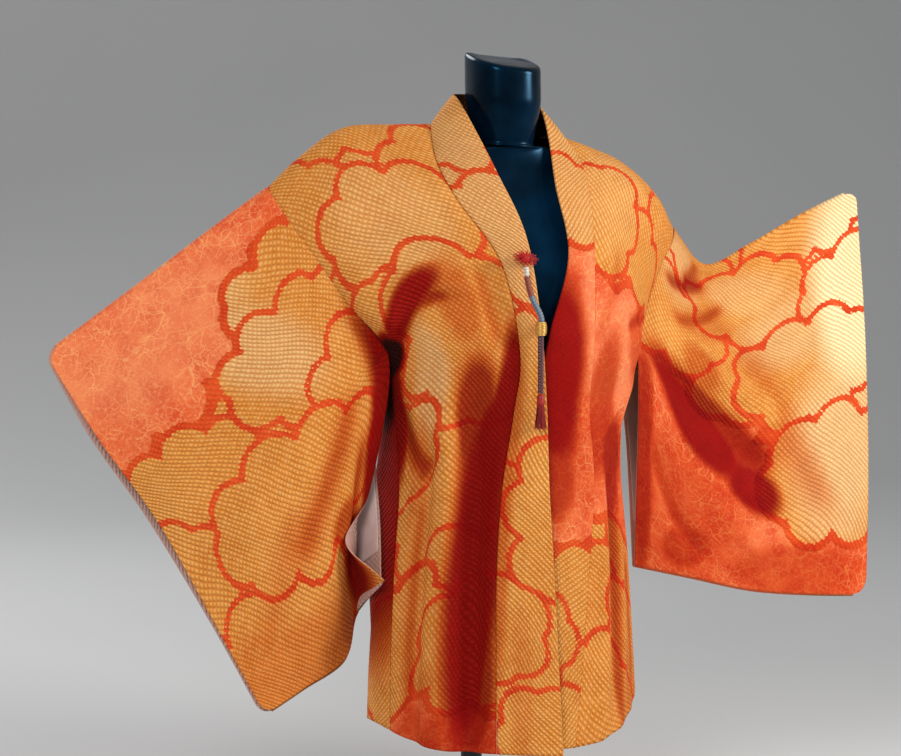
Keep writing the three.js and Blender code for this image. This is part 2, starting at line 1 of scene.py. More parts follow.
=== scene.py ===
# A hip-length kimono jacket in dotted tie-dye silk, worn by a limbless dress form on a short stand.
# Right and left are the wearer's. Table places are millimetres: x, y and the drop below the shoulder.
import math
import bpy
import bmesh
import numpy as np
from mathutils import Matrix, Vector


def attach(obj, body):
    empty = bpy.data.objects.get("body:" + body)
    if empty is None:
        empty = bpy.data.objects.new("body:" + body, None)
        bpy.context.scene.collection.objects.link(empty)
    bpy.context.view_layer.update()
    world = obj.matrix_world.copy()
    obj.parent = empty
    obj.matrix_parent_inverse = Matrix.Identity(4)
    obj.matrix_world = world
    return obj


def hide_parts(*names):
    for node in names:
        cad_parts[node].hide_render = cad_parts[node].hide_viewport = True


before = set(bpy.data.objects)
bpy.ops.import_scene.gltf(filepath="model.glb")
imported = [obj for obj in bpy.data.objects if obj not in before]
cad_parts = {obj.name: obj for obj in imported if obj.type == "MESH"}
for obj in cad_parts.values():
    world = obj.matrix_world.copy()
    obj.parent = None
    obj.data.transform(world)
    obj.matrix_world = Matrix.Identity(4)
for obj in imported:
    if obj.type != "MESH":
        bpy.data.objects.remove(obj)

bpy.context.view_layer.update()

SHOULDER = 0.9
POLE = (-0.020, 0.050)
SEAM = 0.0004
MEET = 0.0002
SIDE = {"right": -1, "left": 1}

RING = [
    # drop, half width, front, back, side front, side back
    (330, 152, 116, 104, -24, 18),
    (420, 147, 116, 103, -28, 24),
    (520, 156, 117, 106, -32, 30),
    (630, 163, 118, 110, -35, 36),
    (735, 166, 119, 112, -38, 40),
]
ROUND = 2.3
SEAM_BELOW = {"right": [-34, -48, -55, -56, -56], "left": [66, 74, 66, 56, 46]}
HEM_RISE = {"right": 22, "left": 48}
BACK_SEAM = 0.95
UPPER = {
    "right": [
        [(-28, -118, 262), (-76, -116, 262), (-118, -100, 261), (-150, -74, 260), (-169, -46, 258)],
        [(-46, -106, 158), (-100, -100, 172), (-155, -84, 186), (-195, -66, 200), (-216, -50, 204)],
        [(-88, -72, 84), (-128, -66, 96), (-175, -58, 110), (-222, -48, 132), (-252, -36, 150)],
        [(-101, -38, 38), (-142, -36, 42), (-196, -32, 52), (-246, -24, 78), (-281, -14, 102)],
        [(-90, 6, -2), (-140, 6, -3), (-202, 6, 1), (-255, 6, 34), (-297, 6, 71)],
        [(-70, 36, 0), (-126, 42, 14), (-190, 42, 26), (-244, 36, 60), (-281, 28, 100)],
        [(-36, 58, 4), (-104, 68, 40), (-170, 68, 70), (-222, 58, 108), (-252, 46, 150)],
        [(-1, 70, 14), (-66, 84, 80), (-130, 84, 120), (-182, 72, 160), (-216, 56, 204)],
        [(-1, 96, 140), (-58, 98, 180), (-110, 94, 215), (-146, 76, 245), (-162, 32, 262)],
    ],
    "left": [
        [(70, -112, 262), (100, -108, 262), (130, -92, 262), (152, -66, 264), (164, -34, 266)],
        [(74, -104, 170), (108, -94, 180), (140, -74, 194), (172, -40, 204), (192, -6, 210)],
        [(84, -72, 92), (114, -68, 108), (148, -52, 126), (188, -20, 152), (219, 14, 168)],
        [(88, -34, 44), (122, -36, 54), (164, -28, 72), (210, 0, 106), (242, 32, 142)],
        [(80, 6, 12), (118, 8, 24), (165, 14, 43), (216, 32, 80), (254, 56, 125)],
        [(66, 36, 12), (114, 46, 29), (164, 56, 52), (213, 72, 96), (246, 84, 143)],
        [(36, 58, 12), (98, 72, 50), (150, 82, 92), (192, 92, 138), (222, 98, 178)],
        [(1, 70, 14), (66, 86, 82), (122, 94, 130), (166, 94, 180), (194, 90, 214)],
        [(1, 96, 140), (58, 100, 180), (110, 98, 215), (148, 82, 248), (162, 44, 266)],
    ],
}
# Folds that hang down the body. Columns: place across, width, depth, first and last drop, lean.
BODY_FOLDS = {
    "right": [(0.3, 0.1, 9, 300, 760, -0.06), (0.62, 0.09, 6, 240, 700, 0.1)],
    "left": [(0.35, 0.1, 6, 280, 760, 0.05), (0.7, 0.09, 5, 330, 760, 0.0)],
}
LAST_ROW = 18
FOLD_ROW = 9
ARM_ROWS = 4


def place(points):
    """Table places to metres, with the height above the floor in place of the drop."""
    p = np.asarray(points, float) / 1000.0
    p[..., 2] = SHOULDER - p[..., 2]
    return p


def eased(t):
    """From 0 to 1 with a soft start and end."""
    return t * t * (3 - 2 * t)


def unit(v):
    return v / np.linalg.norm(v, axis=-1)[..., None]


def run_along(p, axis=0):
    """The distance run along one axis of a line or grid of points."""
    step = np.linalg.norm(np.diff(p, axis=axis), axis=-1)
    return np.concatenate([np.zeros_like(step.take([0], axis)), np.cumsum(step, axis=axis)], axis=axis)


def curve(p1, m1, p2, m2, t):
    """A smooth run from p1 to p2 that leaves along m1 and arrives along m2."""
    t2, t3 = t * t, t * t * t
    return p1 * (2 * t3 - 3 * t2 + 1) + m1 * (t3 - 2 * t2 + t) + p2 * (3 * t2 - 2 * t3) + m2 * (t3 - t2)


def smooth(table, t):
    """Places on a smooth line through the rows of a table; t counts rows."""
    t = np.asarray(t, float)
    last = len(table) - 1
    i = np.clip(np.floor(t).astype(int), 0, last - 1)
    f = (t - i).reshape((-1,) + (1,) * (table.ndim - 1))
    p1, p2 = table[i], table[i + 1]
    first = (i == 0).reshape(f.shape)
    end = (i == last - 1).reshape(f.shape)
    p0 = np.where(first, 2 * p1 - p2, table[np.maximum(i - 1, 0)])
    p3 = np.where(end, 2 * p2 - p1, table[np.minimum(i + 2, last)])
    return curve(p1, (p2 - p0) / 2, p2, (p3 - p1) / 2, f)


def sheet_points(table, rows, columns):
    across = smooth(table.transpose(1, 0, 2), np.asarray(columns) * (table.shape[1] - 1))
    return smooth(across.transpose(1, 0, 2), np.asarray(rows) * (table.shape[0] - 1))


def oval(off, across, radius):
    """How far an oval ring stands out at an offset from its middle."""
    return radius * (1 - min(abs(off) / across, 1) ** ROUND) ** (1 / ROUND)


def ring_line(side, row, inner, front, lift):
    """Five places round one ring of the body, from its inner edge to its side edge."""
    drop, half_width, f, b, sf, sb = row
    half, side_y = (f, sf) if front else (b, sb)
    start = math.asin(min(abs(inner) / half_width, 1)) * np.sign(inner * side)
    end = math.asin(oval(side_y, half, half_width) / half_width)
    line = []
    for i in range(5):
        x = math.sin(start + (end - start) * i / 4) * half_width
        y = side_y
        if i < 4:
            y = oval(x, half_width, half) * (-1 if front else 1)
        line.append((side * x, y, drop + lift * (i / 4) ** 2))
    return line


def body_table(name):
    """All rows of one body length, from the front hem over the shoulder to the back hem."""
    side = SIDE[name]
    front, back = [], []
    for i, row in enumerate(RING):
        lift = -HEM_RISE[name] if i == len(RING) - 1 else 0
        front.insert(0, ring_line(side, row, SEAM_BELOW[name][i], True, lift))
        back.append(ring_line(side, row, side * BACK_SEAM, False, lift))
    return place(front + UPPER[name] + back)

BODY = {n: body_table(n) for n in ("right", "left")}


def body_points(name, along, across):
    p = sheet_points(BODY[name], along, across)
    drop = (SHOULDER - p[..., 2]) * 1000
    inward = np.zeros(drop.shape)
    c = np.asarray(across)[None, :]
    back = np.asarray(along)[:, None] >= 0.5
    for at, width, depth, start, end, lean in BODY_FOLDS[name]:
        run = (drop - start) / (end - start)
        grown = np.clip(run * 3, 0, 1)
        off = (c - at - lean * run) / width
        inward += np.where(run > 0, depth * eased(grown) * np.exp(-off * off), 0)
    inward = inward * np.where(back, 0.8, 1.0) / 1000
    rim = np.clip(np.minimum(c, 1 - c) * 8, 0, 1)
    pull = inward * rim / np.maximum(np.hypot(p[..., 0], p[..., 1]), 0.001)
    p[..., :2] -= p[..., :2] * pull[..., None]
    return p


def cloth_uv(p, fold_row, edge):
    """Metres across from the near or far edge, and along from the fold row."""
    u, v = run_along(p, 1), run_along(p, 0)
    if edge == "far":
        u = u[:, -1:] - u
    return u, v[fold_row] - v

SLEEVES = {
    "right": {
        "fold": [(-299, 6, 72), (-366, 4, 118), (-436, 2, 167), (-507, -1, 216), (-566, -5, 256)],
        "front": [
            [(-240, -40, 160), (-308, -40, 212), (-377, -34, 262), (-449, -26, 310), (-509, -18, 352)],
            [(-172, -47, 262), (-240, -54, 316), (-314, -50, 362), (-387, -40, 410), (-441, -28, 452)],
            [(-188, -8, 432), (-212, -36, 450), (-264, -48, 486), (-322, -46, 532), (-375, -38, 576)],
            [(-170, -43, 532), (-172, 44, 586), (-196, 20, 634), (-262, -18, 658), (-319, -42, 681)],
        ],
        "back": [
            [(-243, 52, 162), (-312, 30, 216), (-382, 20, 264), (-452, 14, 310), (-512, 6, 352)],
            [(-172, 34, 266), (-240, 22, 318), (-316, 14, 364), (-389, 6, 411), (-444, 0, 453)],
            [(-166, -13, 432), (-206, 14, 462), (-266, 4, 488), (-324, -12, 533), (-377, -32, 577)],
            [(-171, -36, 536), (-177, 54, 588), (-194, 30, 637), (-260, -9, 661), (-320, -37, 684)],
        ],
    },
    "left": {
        "fold": [(256, 60, 130), (312, 78, 175), (386, 96, 150), (472, 112, 112), (556, 128, 81)],
        "front": [
            [(213, 6, 182), (290, 36, 236), (376, 62, 246), (468, 84, 222), (556, 106, 196)],
            [(169, -36, 270), (262, 0, 322), (362, 36, 340), (462, 64, 328), (555, 90, 310)],
            [(178, -6, 402), (260, 16, 448), (362, 40, 462), (458, 56, 458), (552, 76, 452)],
            [(198, 42, 546), (280, 44, 566), (368, 48, 588), (456, 56, 600), (546, 68, 608)],
        ],
        "back": [
            [(222, 96, 184), (284, 112, 238), (362, 128, 248), (456, 138, 224), (552, 128, 197)],
            [(180, 52, 272), (246, 84, 324), (344, 114, 342), (448, 122, 330), (551, 114, 311)],
            [(188, 44, 404), (248, 76, 450), (350, 98, 464), (450, 98, 459), (551, 82, 453)],
            [(200, 52, 548), (280, 54, 568), (367, 58, 590), (455, 66, 602), (546, 74, 610)],
        ],
    },
}
SLEEVE = {n: {l: place([s["fold"]] + s[l]) for l in ("front", "back")} for n, s in SLEEVES.items()}
# How the open inner edge sways off its table, in nine even steps from the fold to the bottom.
SWAY = {("right", "front"): [(0, 0, 0)] * 5 + [(8, -14, 0), (4, -20, 0), (-34, -15, 0), (0, 0, 0)]}
FOLD_ROUND = 0.004
SEWN = 0.5  # share of the sleeve's depth that is sewn to the body


def past_edge(name, along):
    """Places just past the side edge of a body length, and the way the cloth runs there."""
    edge = body_points(name, along, [1.0])[:, 0]
    near = body_points(name, along, [0.96])[:, 0]
    way = unit(edge - near)
    return edge + way * MEET, way


def sleeve_points(name, layer, down, across):
    """One layer of a sleeve: down 0 at the fold, across 0 at the armhole, where it meets the body."""
    table = SLEEVE[name][layer]
    p = sheet_points(table, down, across)
    sign = -1 if layer == "front" else 1
    p[..., 1] += sign * FOLD_ROUND * np.maximum(1 - down * 6, 0)[:, None]
    start = sheet_points(table, down, [0.0])[:, 0]
    rows = FOLD_ROW + (-ARM_ROWS if layer == "front" else ARM_ROWS) * np.minimum(down / SEWN, 1)
    edge = past_edge(name, rows / LAST_ROW)[0]
    below = np.clip((down - SEWN) / 0.16, 0, 1)
    near = np.maximum(1 - across * 3.2, 0) ** 2
    share = (1 - eased(below))[:, None] * near[None, :]
    p = p + (edge - start)[:, None, :] * share[..., None]
    if (name, layer) in SWAY:
        sway = smooth(np.array(SWAY[name, layer], float) / 1000, down * 8)
        p = p + sway[:, None, :] * near[None, :, None] * [1, 1, -1]
    return p

# The collar band's free edge, from the hem up to the middle of the neck.
BAND_FREE = {
    "right": [(24, -130, 741), (18, -129, 632), (12, -128, 520), (6, -127, 418), (3, -126, 326),
              (-4, -124, 226), (-16, -108, 126), (-38, -70, 50), (-51, -34, 0), (-56, 4, -34),
              (-50, 34, -40), (-30, 55, -41), (0, 62, -40)],
    "left": [(-27, -109, 735), (-24, -108, 630), (-20, -107, 520), (-14, -107, 420), (-6, -109, 332),
             (10, -114, 244), (40, -103, 150), (36, -74, 68), (44, -36, 14), (51, 4, -22),
             (47, 34, -34), (29, 55, -39), (0, 62, -40)],
}
BAND_SWELL = 0.0025
NECK_ROW = 12
BAND_EDGE = {n: place(t) for n, t in BAND_FREE.items()}


def band_points(name, up, across):
    across = np.asarray(across, float)
    free = smooth(BAND_EDGE[name], up * NECK_ROW)
    seam = body_points(name, up * NECK_ROW / LAST_ROW, [0.0])[:, 0]
    seam[:, 0] *= np.minimum((1 - up) * 12, 1)
    seam = seam + unit(free - seam) * MEET
    p = seam[:, None] + (free - seam)[:, None] * across[None, :, None]
    return p + unit(p * [1, 1, 0]) * (BAND_SWELL * np.sin(math.pi * across))[None, :, None]


# Meshes from grids. A point's origin moves from under the body to under the stand's pole.
def mesh_object(name, points, faces, uv=None, fields=None, edges=()):
    shifted = points - np.array([POLE[0], POLE[1], 0.0])
    mesh = bpy.data.meshes.new(name)
    mesh.from_pydata(shifted.tolist(), edges, faces.tolist() if hasattr(faces, "tolist") else faces)
    if uv is not None:
        layer = mesh.uv_layers.new(name="cloth")
        loops = np.empty(len(mesh.loops), dtype=np.int32)
        mesh.loops.foreach_get("vertex_index", loops)
        layer.data.foreach_set("uv", uv[loops].astype(np.float32).ravel())
    for key, values in (fields or {}).items():
        attribute = mesh.attributes.new(key, "FLOAT", "POINT")
        attribute.data.foreach_set("value", np.asarray(values, np.float32).ravel())
    mesh.polygons.foreach_set("use_smooth", [True] * len(mesh.polygons))
    mesh.update()
    made = bpy.data.objects.new(name, mesh)
    bpy.context.collection.objects.link(made)
    return made


def grid_normals(p, ring=False):
    if ring:
        along = np.roll(p, -1, axis=0) - np.roll(p, 1, axis=0)
    else:
        along = np.gradient(p, axis=0)
    across = np.gradient(p, axis=1)
    n = np.cross(along, across)
    return n / np.maximum(np.linalg.norm(n, axis=2), 1e-9)[..., None]


def grid_faces(rows, columns, start=0, ring=False, flip=False):
    r = np.arange(rows if ring else rows - 1)[:, None]
    c = np.arange(columns - 1)[None, :]
    a = start + r * columns + c
    b = start + ((r + 1) % rows) * columns + c
    quads = np.stack([a, b, b + 1, a + 1], axis=-1).reshape(-1, 4)
    return quads[:, ::-1] if flip else quads


def edge_reach(p):
    """Distance in metres of each point from the nearer long edge of its grid."""
    run = run_along(p, 1)
    return np.minimum(run, run[:, -1:] - run)


def sewn_edge(p):
    """Cloth drawn thin by its seams along both long edges."""
    return 1 - 0.75 * np.exp(-(edge_reach(p) / 0.0022) ** 2)


def folded_edge(p, reach):
    """Folded cloth, round at both long edges."""
    near = 1 - np.clip(edge_reach(p) / reach, 0, 1)
    return np.maximum(np.sqrt(1 - near * near), 0.12)


def steps(count, fine=()):
    """Even steps from 0 to 1 with some finer ones near both ends."""
    ends = np.array(fine)
    return np.unique(np.concatenate([np.linspace(0, 1, count), ends, 1 - ends]))


def shell(name, p, wall, side, uv, fields, ring=False, keep=None, thin=None):
    """A closed cloth shell round a grid of middle points; side is 1 or -1 so that faces point out."""
    rows, columns = p.shape[:2]
    n = grid_normals(p, ring) * side
    half = wall / 2 * (np.ones(p.shape[:2]) if thin is None else thin)[..., None]
    outer, inner = p + n * half, p - n * half
    if keep is not None:
        outer, inner = keep(outer), keep(inner)
    total = rows * columns
    points = np.concatenate([outer.reshape(-1, 3), inner.reshape(-1, 3)])
    flip = side < 0
    faces = [grid_faces(rows, columns, 0, ring, flip), grid_faces(rows, columns, total, ring, not flip)]
    def rim(line, turn):
        a = np.array(line)
        b = np.roll(a, -1) if ring and len(a) == rows else a[1:]
        a = a if ring and len(line) == rows else a[:-1]
        quads = np.stack([a, a + total, b + total, b], axis=-1)
        faces.append(quads[:, ::-1] if turn else quads)
    left = [r * columns for r in range(rows)]
    rim(left, flip)
    rim([i + columns - 1 for i in left], not flip)
    if not ring:
        rim(list(range(columns)), not flip)
        rim([(rows - 1) * columns + c for c in range(columns)], flip)
    both = {key: np.concatenate([v.ravel(), v.ravel()]) for key, v in fields.items()}
    both["inside"] = np.concatenate([np.zeros(total), np.ones(total)])
    flat = np.stack([uv[0].ravel(), uv[1].ravel()], axis=-1)
    return mesh_object(name, points, np.concatenate(faces), np.concatenate([flat, flat]), both)


# Cloud shapes in cloth coordinates, in centimetres: across from the armhole or side edge, along from the
# shoulder fold (front is plus on the body; the sleeves use plus for the front layer too).
# Columns: middle across, middle along, half width, half height, lobes, turn, edge line half width in mm.
GOLD_CLOUDS = {
    "body_right": [
        (11, 65.5, 7, 7, 7, 0.3, 3.6), (1.5, 61, 6, 7, 6, 0.9, 3.6),
        (8, 58.5, 9, 6.5, 7, 0.2, 3.8), (1, 38.5, 5, 5.2, 5, 0.6, 3.6),
        (11, 28, 7.6, 10.5, 7, 0.3, 3.8), (9.5, 46, 9.5, 9, 8, 0.1, 3.6),
        (3.2, 24, 5.6, 6, 5, 0.4, 3.6), (11, 12.5, 9, 6.5, 7, 0, 3.8),
        (1, 6, 6.5, 6, 6, 0.8, 3.6), (22, 8, 8, 7, 6, 0.2, 3.6),
        (12, -4, 10, 7, 7, 0.5, 3.6), (3, -16, 8, 8, 7, 0.2, 3.6),
        (21, -18, 10, 8, 8, 0.7, 3.8), (9, -33, 9, 8, 7, 0.4, 3.6),
        (24, -38, 9, 9, 7, 0.1, 3.6), (5, -52, 8, 8, 7, 0.6, 3.6),
        (18, -58, 9, 8, 7, 0.3, 3.6),
    ],
    "body_left": [
        (10, 70, 10, 7, 7, 0.2, 3.6), (2, 60, 7, 6.5, 6, 0.5, 3.6),
        (13, 57.5, 7.5, 5.5, 6, 0.9, 3.8), (3, 52, 6.5, 5, 6, 0.3, 3.8),
        (17, 12, 6, 7, 6, 0.1, 3.6), (8, 13, 7, 5, 6, 0.6, 3.8),
        (2, 4, 6, 6.5, 6, 0.2, 3.6), (14, 2, 8, 6, 7, 0.5, 3.6),
        (22, 0, 7, 6, 6, 0.9, 3.6), (5, -12, 9, 8, 7, 0.1, 3.8),
        (22, -17, 9, 8, 7, 0.5, 3.6), (10, -30, 9, 8, 7, 0.8, 3.6),
        (25, -38, 8, 9, 7, 0.3, 3.6), (5, -50, 9, 8, 7, 0.2, 3.6),
    ],
    "sleeve_right": [
        (14.8, 33, 12.3, 7.4, 9, 0.1, 3.8), (23, 46.6, 13.5, 8.8, 9, 0.5, 3.6),
        (35, 33, 8, 6.2, 6, 0.2, 3.6), (2, 26, 8, 6.2, 7, 0.4, 3.6),
        (8, 18.8, 9.6, 6.6, 8, 0.45, 3.8), (26.5, 24.5, 9.5, 6, 8, 0.7, 3.6),
        (3, 10.5, 9.5, 4.4, 7, 0.3, 4.6), (4, 43, 8, 8.5, 7, 0.6, 3.6),
        (34, 45, 6, 7, 6, 0.1, 3.6),
        (10, -12, 11, 7.5, 8, 0.3, 3.6), (24, -22, 11, 8, 8, 0.6, 3.8),
        (8, -32, 10, 8, 8, 0.2, 3.6), (24, -42, 10, 8, 8, 0.9, 3.6),
    ],
    "sleeve_left": [
        (28, 37, 9, 7.4, 7, 0.3, 3.8), (24, 22.5, 10, 7.4, 8, 0.5, 4.2),
        (32, 12.5, 8.5, 5.8, 7, 0.2, 3.8), (14.5, 9.5, 8.6, 6.4, 7, 0.6, 4.2),
        (2.5, 17.5, 8.5, 6, 7, 0.1, 3.8), (25, -0.5, 10, 6.5, 8, 0.4, 3.8),
        (4, 3, 8, 6, 7, 0.8, 3.6), (14, 22, 6, 6, 6, 0.2, 3.8),
        (9, -14, 11, 8, 8, 0.3, 3.6), (25, -22, 11, 8, 8, 0.6, 3.8),
        (9, -34, 10, 8, 8, 0.2, 3.6), (25, -42, 10, 8, 8, 0.9, 3.6),
    ],
    "band_right": [
        (5.5, 71, 5, 5, 5, 0.2, 3.6), (1, 59, 4.5, 5.5, 5, 0.5, 3.6),
        (6.5, 45, 5, 9, 6, 0.1, 3.6), (1.5, 30, 5, 8, 6, 0.7, 3.6),
        (4, 12, 6, 8, 7, 0.3, 3.6), (3, -5, 5, 7, 6, 0.3, 3.6),
    ],
    "band_left": [
        (3.5, 70, 6, 6, 6, 0.2, 3.6), (6.5, 58, 4.5, 5, 5, 0.5, 3.6),
        (1, 52, 4.5, 5, 5, 0.1, 3.6), (4, 5, 6, 5.5, 7, 0.3, 3.6),
        (3, -3, 5, 6, 6, 0.8, 3.6),
    ],
    "gusset_right": [(3, 18, 5, 6, 6, 0.2, 3.6), (1, 38, 5, 7, 6, 0.5, 3.6)],
    "gusset_left": [(3, 14, 5, 6, 6, 0.4, 3.6), (5, 34, 5, 7, 6, 0.1, 3.6)],
}
CORAL_CLOUDS = {
    "body_right": [(3, 75, 9.5, 8.5, 8, 0.2, 6), (11, 80, 8, 5, 7, 0.6, 6),
                   (24, -52, 8, 10, 8, 0.2, 6)],
    "body_left": [(9, 34, 12, 14.5, 11, 0.2, 6), (1, 26, 7, 9, 7, 0.5, 6),
                  (17, 28, 6, 9, 7, 0.1, 6), (7, -66, 12, 8, 8, 0.4, 6)],
    "sleeve_right": [(27, 5, 16.5, 13, 11, 0.3, 6.5), (8, -1, 14, 7.5, 9, 0.1, 6.5),
                     (30, -3, 14, 10, 9, 0.5, 6.5)],
    "sleeve_left": [(6, 44, 16, 21, 12, 0.1, 7), (24, 53, 14, 11, 9, 0.5, 7),
                    (8, -50, 14, 10, 9, 0.3, 6)],
    "band_left": [(3, 27.5, 6.5, 18, 9, 0.2, 6)],
    "band_right": [(1, 76.5, 6, 4.5, 6, 0.3, 5)],
}


def cloud_edge(u, v, cloud):
    """Signed distance in metres to one scalloped cloud, minus inside."""
    across, along, half_w, half_h, lobes, turn, _ = cloud
    radius = 2.2 * (half_w + half_h) / lobes * 0.74
    core = np.hypot((u - across) / (half_w - 0.8), (v - along) / (half_h - 0.8)) - 1
    best = core * min(half_w, half_h)
    for i in range(lobes):
        angle = 2 * math.pi * (i + turn) / lobes
        r = radius * (1 + 0.1 * math.sin(5.1 * i + 9.7 * turn + across))
        cu = across + (half_w - r * 0.62) * math.cos(angle)
        cv = along + (half_h - r * 0.62) * math.sin(angle)
        best = np.minimum(best, np.hypot(u - cu, v - cv) - r)
    return best / 100


def cloud_fields(name, u, v):
    """The edge-line and coral-field distances of a piece, from its clouds, nearest layer first."""
    u, v = u * 100, v * 100
    line = np.full(u.shape, 0.05)
    cover = np.full(u.shape, 0.05)
    for cloud in GOLD_CLOUDS.get(name, []):
        edge = cloud_edge(u, v, cloud)
        line = np.minimum(line, np.maximum(np.abs(edge) - cloud[6] / 1000, -cover))
        cover = np.minimum(cover, edge)
    coral = np.full(u.shape, 0.05)
    for cloud in CORAL_CLOUDS.get(name, []):
        coral = np.minimum(coral, cloud_edge(u, v, cloud))
    field = np.maximum(coral, -cover)
    if name in CORAL_CLOUDS:
        thick = CORAL_CLOUDS[name][0][6] / 1000
        rim = np.maximum(np.abs(coral + thick * 0.6) - thick, -cover - 0.001)
        near_cover = np.maximum(np.abs(cover) - thick * 0.8, coral - 0.002)
        line = np.where(cover < 0, line, np.minimum(np.minimum(line, rim), near_cover))
    return {"line": line, "coral": field}


# Creases in cloth centimetres. Columns: start and end, each across and along, then half width,
# height in mm and bow.
CREASES = {
    "body_right": [
        (11.6, 28, 11.2, 82, 2.6, -13, 0.4), (6.8, 32, 6.4, 78, 2.2, 6, -0.5),
        (0.5, 27, 12.5, 23, 1.3, -7, -1.6), (1, 24.5, 13, 19.5, 1.2, 4.5, -1.2),
        (4.5, 40, 3, 77, 1.4, -4, 0.8), (0.8, 31, 6, 44, 1.5, -6, 1),
        (16.5, 20, 15, 31, 1.3, -3, 0.8), (20, 5, 17, 15, 1.2, 2, 0.5),
        (3, -22, 14, -30, 1.4, -5, 1.2), (6, -34, 9, -74, 1.8, -6, 0.8),
        (18, -30, 20, -74, 2, -5, -0.8), (13, -40, 14, -74, 1.5, 3.5, 0.6),
        (24, -12, 20, -30, 1.6, 3, 0.8),
    ],
    "body_left": [
        (1, 28, 8, 46, 1.5, -6, 0.8), (2.5, 25, 10.5, 38, 1.3, 4, 0.8),
        (6, 36, 6.5, 75, 1.6, -5, -0.7), (10.5, 44, 10, 76, 1.4, 3.5, 0.5),
        (2.5, 44, 3, 74, 1.2, -3.5, 0.4), (0.5, 17, 9, 25, 1.2, -5, -1),
        (13, 14, 13.5, 30, 1.3, -3, 0.5),
        (2, -22, 12, -32, 1.5, -5, 1), (7, -36, 8, -74, 1.8, -6, 0.8),
        (19, -30, 21, -74, 1.9, -5, -0.8), (13, -42, 14, -74, 1.5, 3.5, 0.6),
    ],
    "sleeve_right": [
        (4, 25, 20, 40, 2.4, -4, 1.2), (10, 22, 26, 33, 2.6, 3, 1), (20, 8, 30, 30, 3.2, 2.2, -1),
        (3, 30, 10, 47, 1.8, -5, 1), (12, 44, 26, 48, 2.4, 3, 1), (16, 30, 30, 46, 2.8, -2.4, 1.2),
        (4, -24, 18, -40, 2.2, -4, 1), (18, -12, 28, -40, 3, 2.4, 1), (10, -30, 22, -48, 2.2, 3, -1),
    ],
    "sleeve_left": [
        (2.5, 24, 19, 37, 2.3, -13, -1.2), (5, 19.5, 20, 30, 1.7, 6, -1.5),
        (1.5, 33, 12, 49, 2, -5, 1), (8, 33, 20, 48, 1.8, 4, 1),
        (0.5, 14, 8, 4, 1.3, -5, 0.8), (3, 18, 12, 8, 1.3, -4, 0.8), (4, 9, 6, 1, 1, -3.5, 0.3),
        (10, 3, 26, 18, 2.4, 3, 1.4), (14, 14, 30, 44, 3, -3, 1.5), (24, 8, 31, 42, 2.4, 2.4, 1),
        (3, -20, 18, -34, 2, -6, 1.2), (4, -10, 14, -22, 1.6, 4, 0.8), (10, -30, 24, -46, 2.2, -4, 1),
    ],
}


def creased(name, u, v):
    """How far a point of a piece stands out, in metres, from its creases."""
    u, v = u * 100, v * 100
    total = np.zeros(u.shape)
    for u0, v0, u1, v1, width, height, bow in CREASES.get(name, []):
        length = math.hypot(u1 - u0, v1 - v0)
        du, dv = (u1 - u0) / length, (v1 - v0) / length
        t = ((u - u0) * du + (v - v0) * dv) / length
        off = (u - u0) * dv - (v - v0) * du + bow * 4 * t * (1 - t)
        ends = np.clip(np.minimum(t, 1 - t) * 4 + 0.15, 0, 1)
        total += height * eased(ends) * np.exp(-(off / width) ** 2)
    return total / 1000


# Painted shade: places darkened towards deep red, and past strength 1 towards black, in cloth centimetres.
# Columns: middle across and along, half sizes, turn and strength.
SHADES = {
    "body_right": [(0.1, 32, 1.9, 9, 0, 1.2), (10.7, 58, 3.9, 25, 3, 1), (13, 43, 3.4, 10, 16, 1),
                   (15.4, 36, 2.2, 9, 12, 1), (0.4, 25.4, 2.6, 3.4, 0, 1.6), (5.8, 22.6, 7.4, 2, -27, 1),
                   (2.5, 74, 3, 6, 0, 0.5), (1, -46, 8, 28, 0, 1), (3.4, 42, 1.6, 7, 10, 0.35),
                   (11.8, 24, 2.8, 6.5, 10, 0.42), (8, 77, 10, 5, 0, 0.55), (6, 70, 8, 4, 0, 0.3)],
    "body_left": [(5.6, 24, 3.2, 4.5, 0, 0.45), (7, 40, 3.6, 5.5, 0, 0.8), (10.8, 35, 2.6, 11, 0, 0.6),
                  (11.5, 41, 3.5, 6, 0, 0.45), (8, 60, 8, 14, 0, 0.16), (1, -46, 6, 28, 0, 0.7),
                  (3, 66, 3, 10, 0, 0.35)],
    "sleeve_right": [(0.2, 31, 3, 12, 0, 1), (5.5, 44.5, 6, 7, 15, 1), (9, 38.6, 4.2, 2.4, 20, 0.6),
                     (24, 47.5, 16, 5, 0, 0.32), (30, 46, 5, 6, 0, 0.3)],
    "sleeve_left": [(9, 30, 10.5, 3.3, 41, 1.05), (16.8, 37.6, 5, 2.8, 45, 1), (7, 42, 11, 12, 0, 0.4),
                    (22, 48, 12, 4, 0, 0.5), (9, 15, 5, 3, -20, 0.3), (1, 39, 1.8, 15, 0, 0.75),
                    (7.5, 46.5, 5, 3.5, -30, 0.6), (8.6, 22.5, 2.6, 4.5, -30, 0.45)],
    "gusset_right": [(3, 12, 12, 26, 0, 1), (3, 0, 12, 12, 0, 1.6)],
    "band_left": [(4.6, 26, 3.8, 13, 0, 1), (5.2, 38, 3, 7, 0, 0.7), (1, 34, 1.5, 12, 0, 0.3)],
    "band_right": [(0, 46, 1.6, 24, 0, 0.45), (3, 66, 1.6, 12, 0, 0.25)],
}
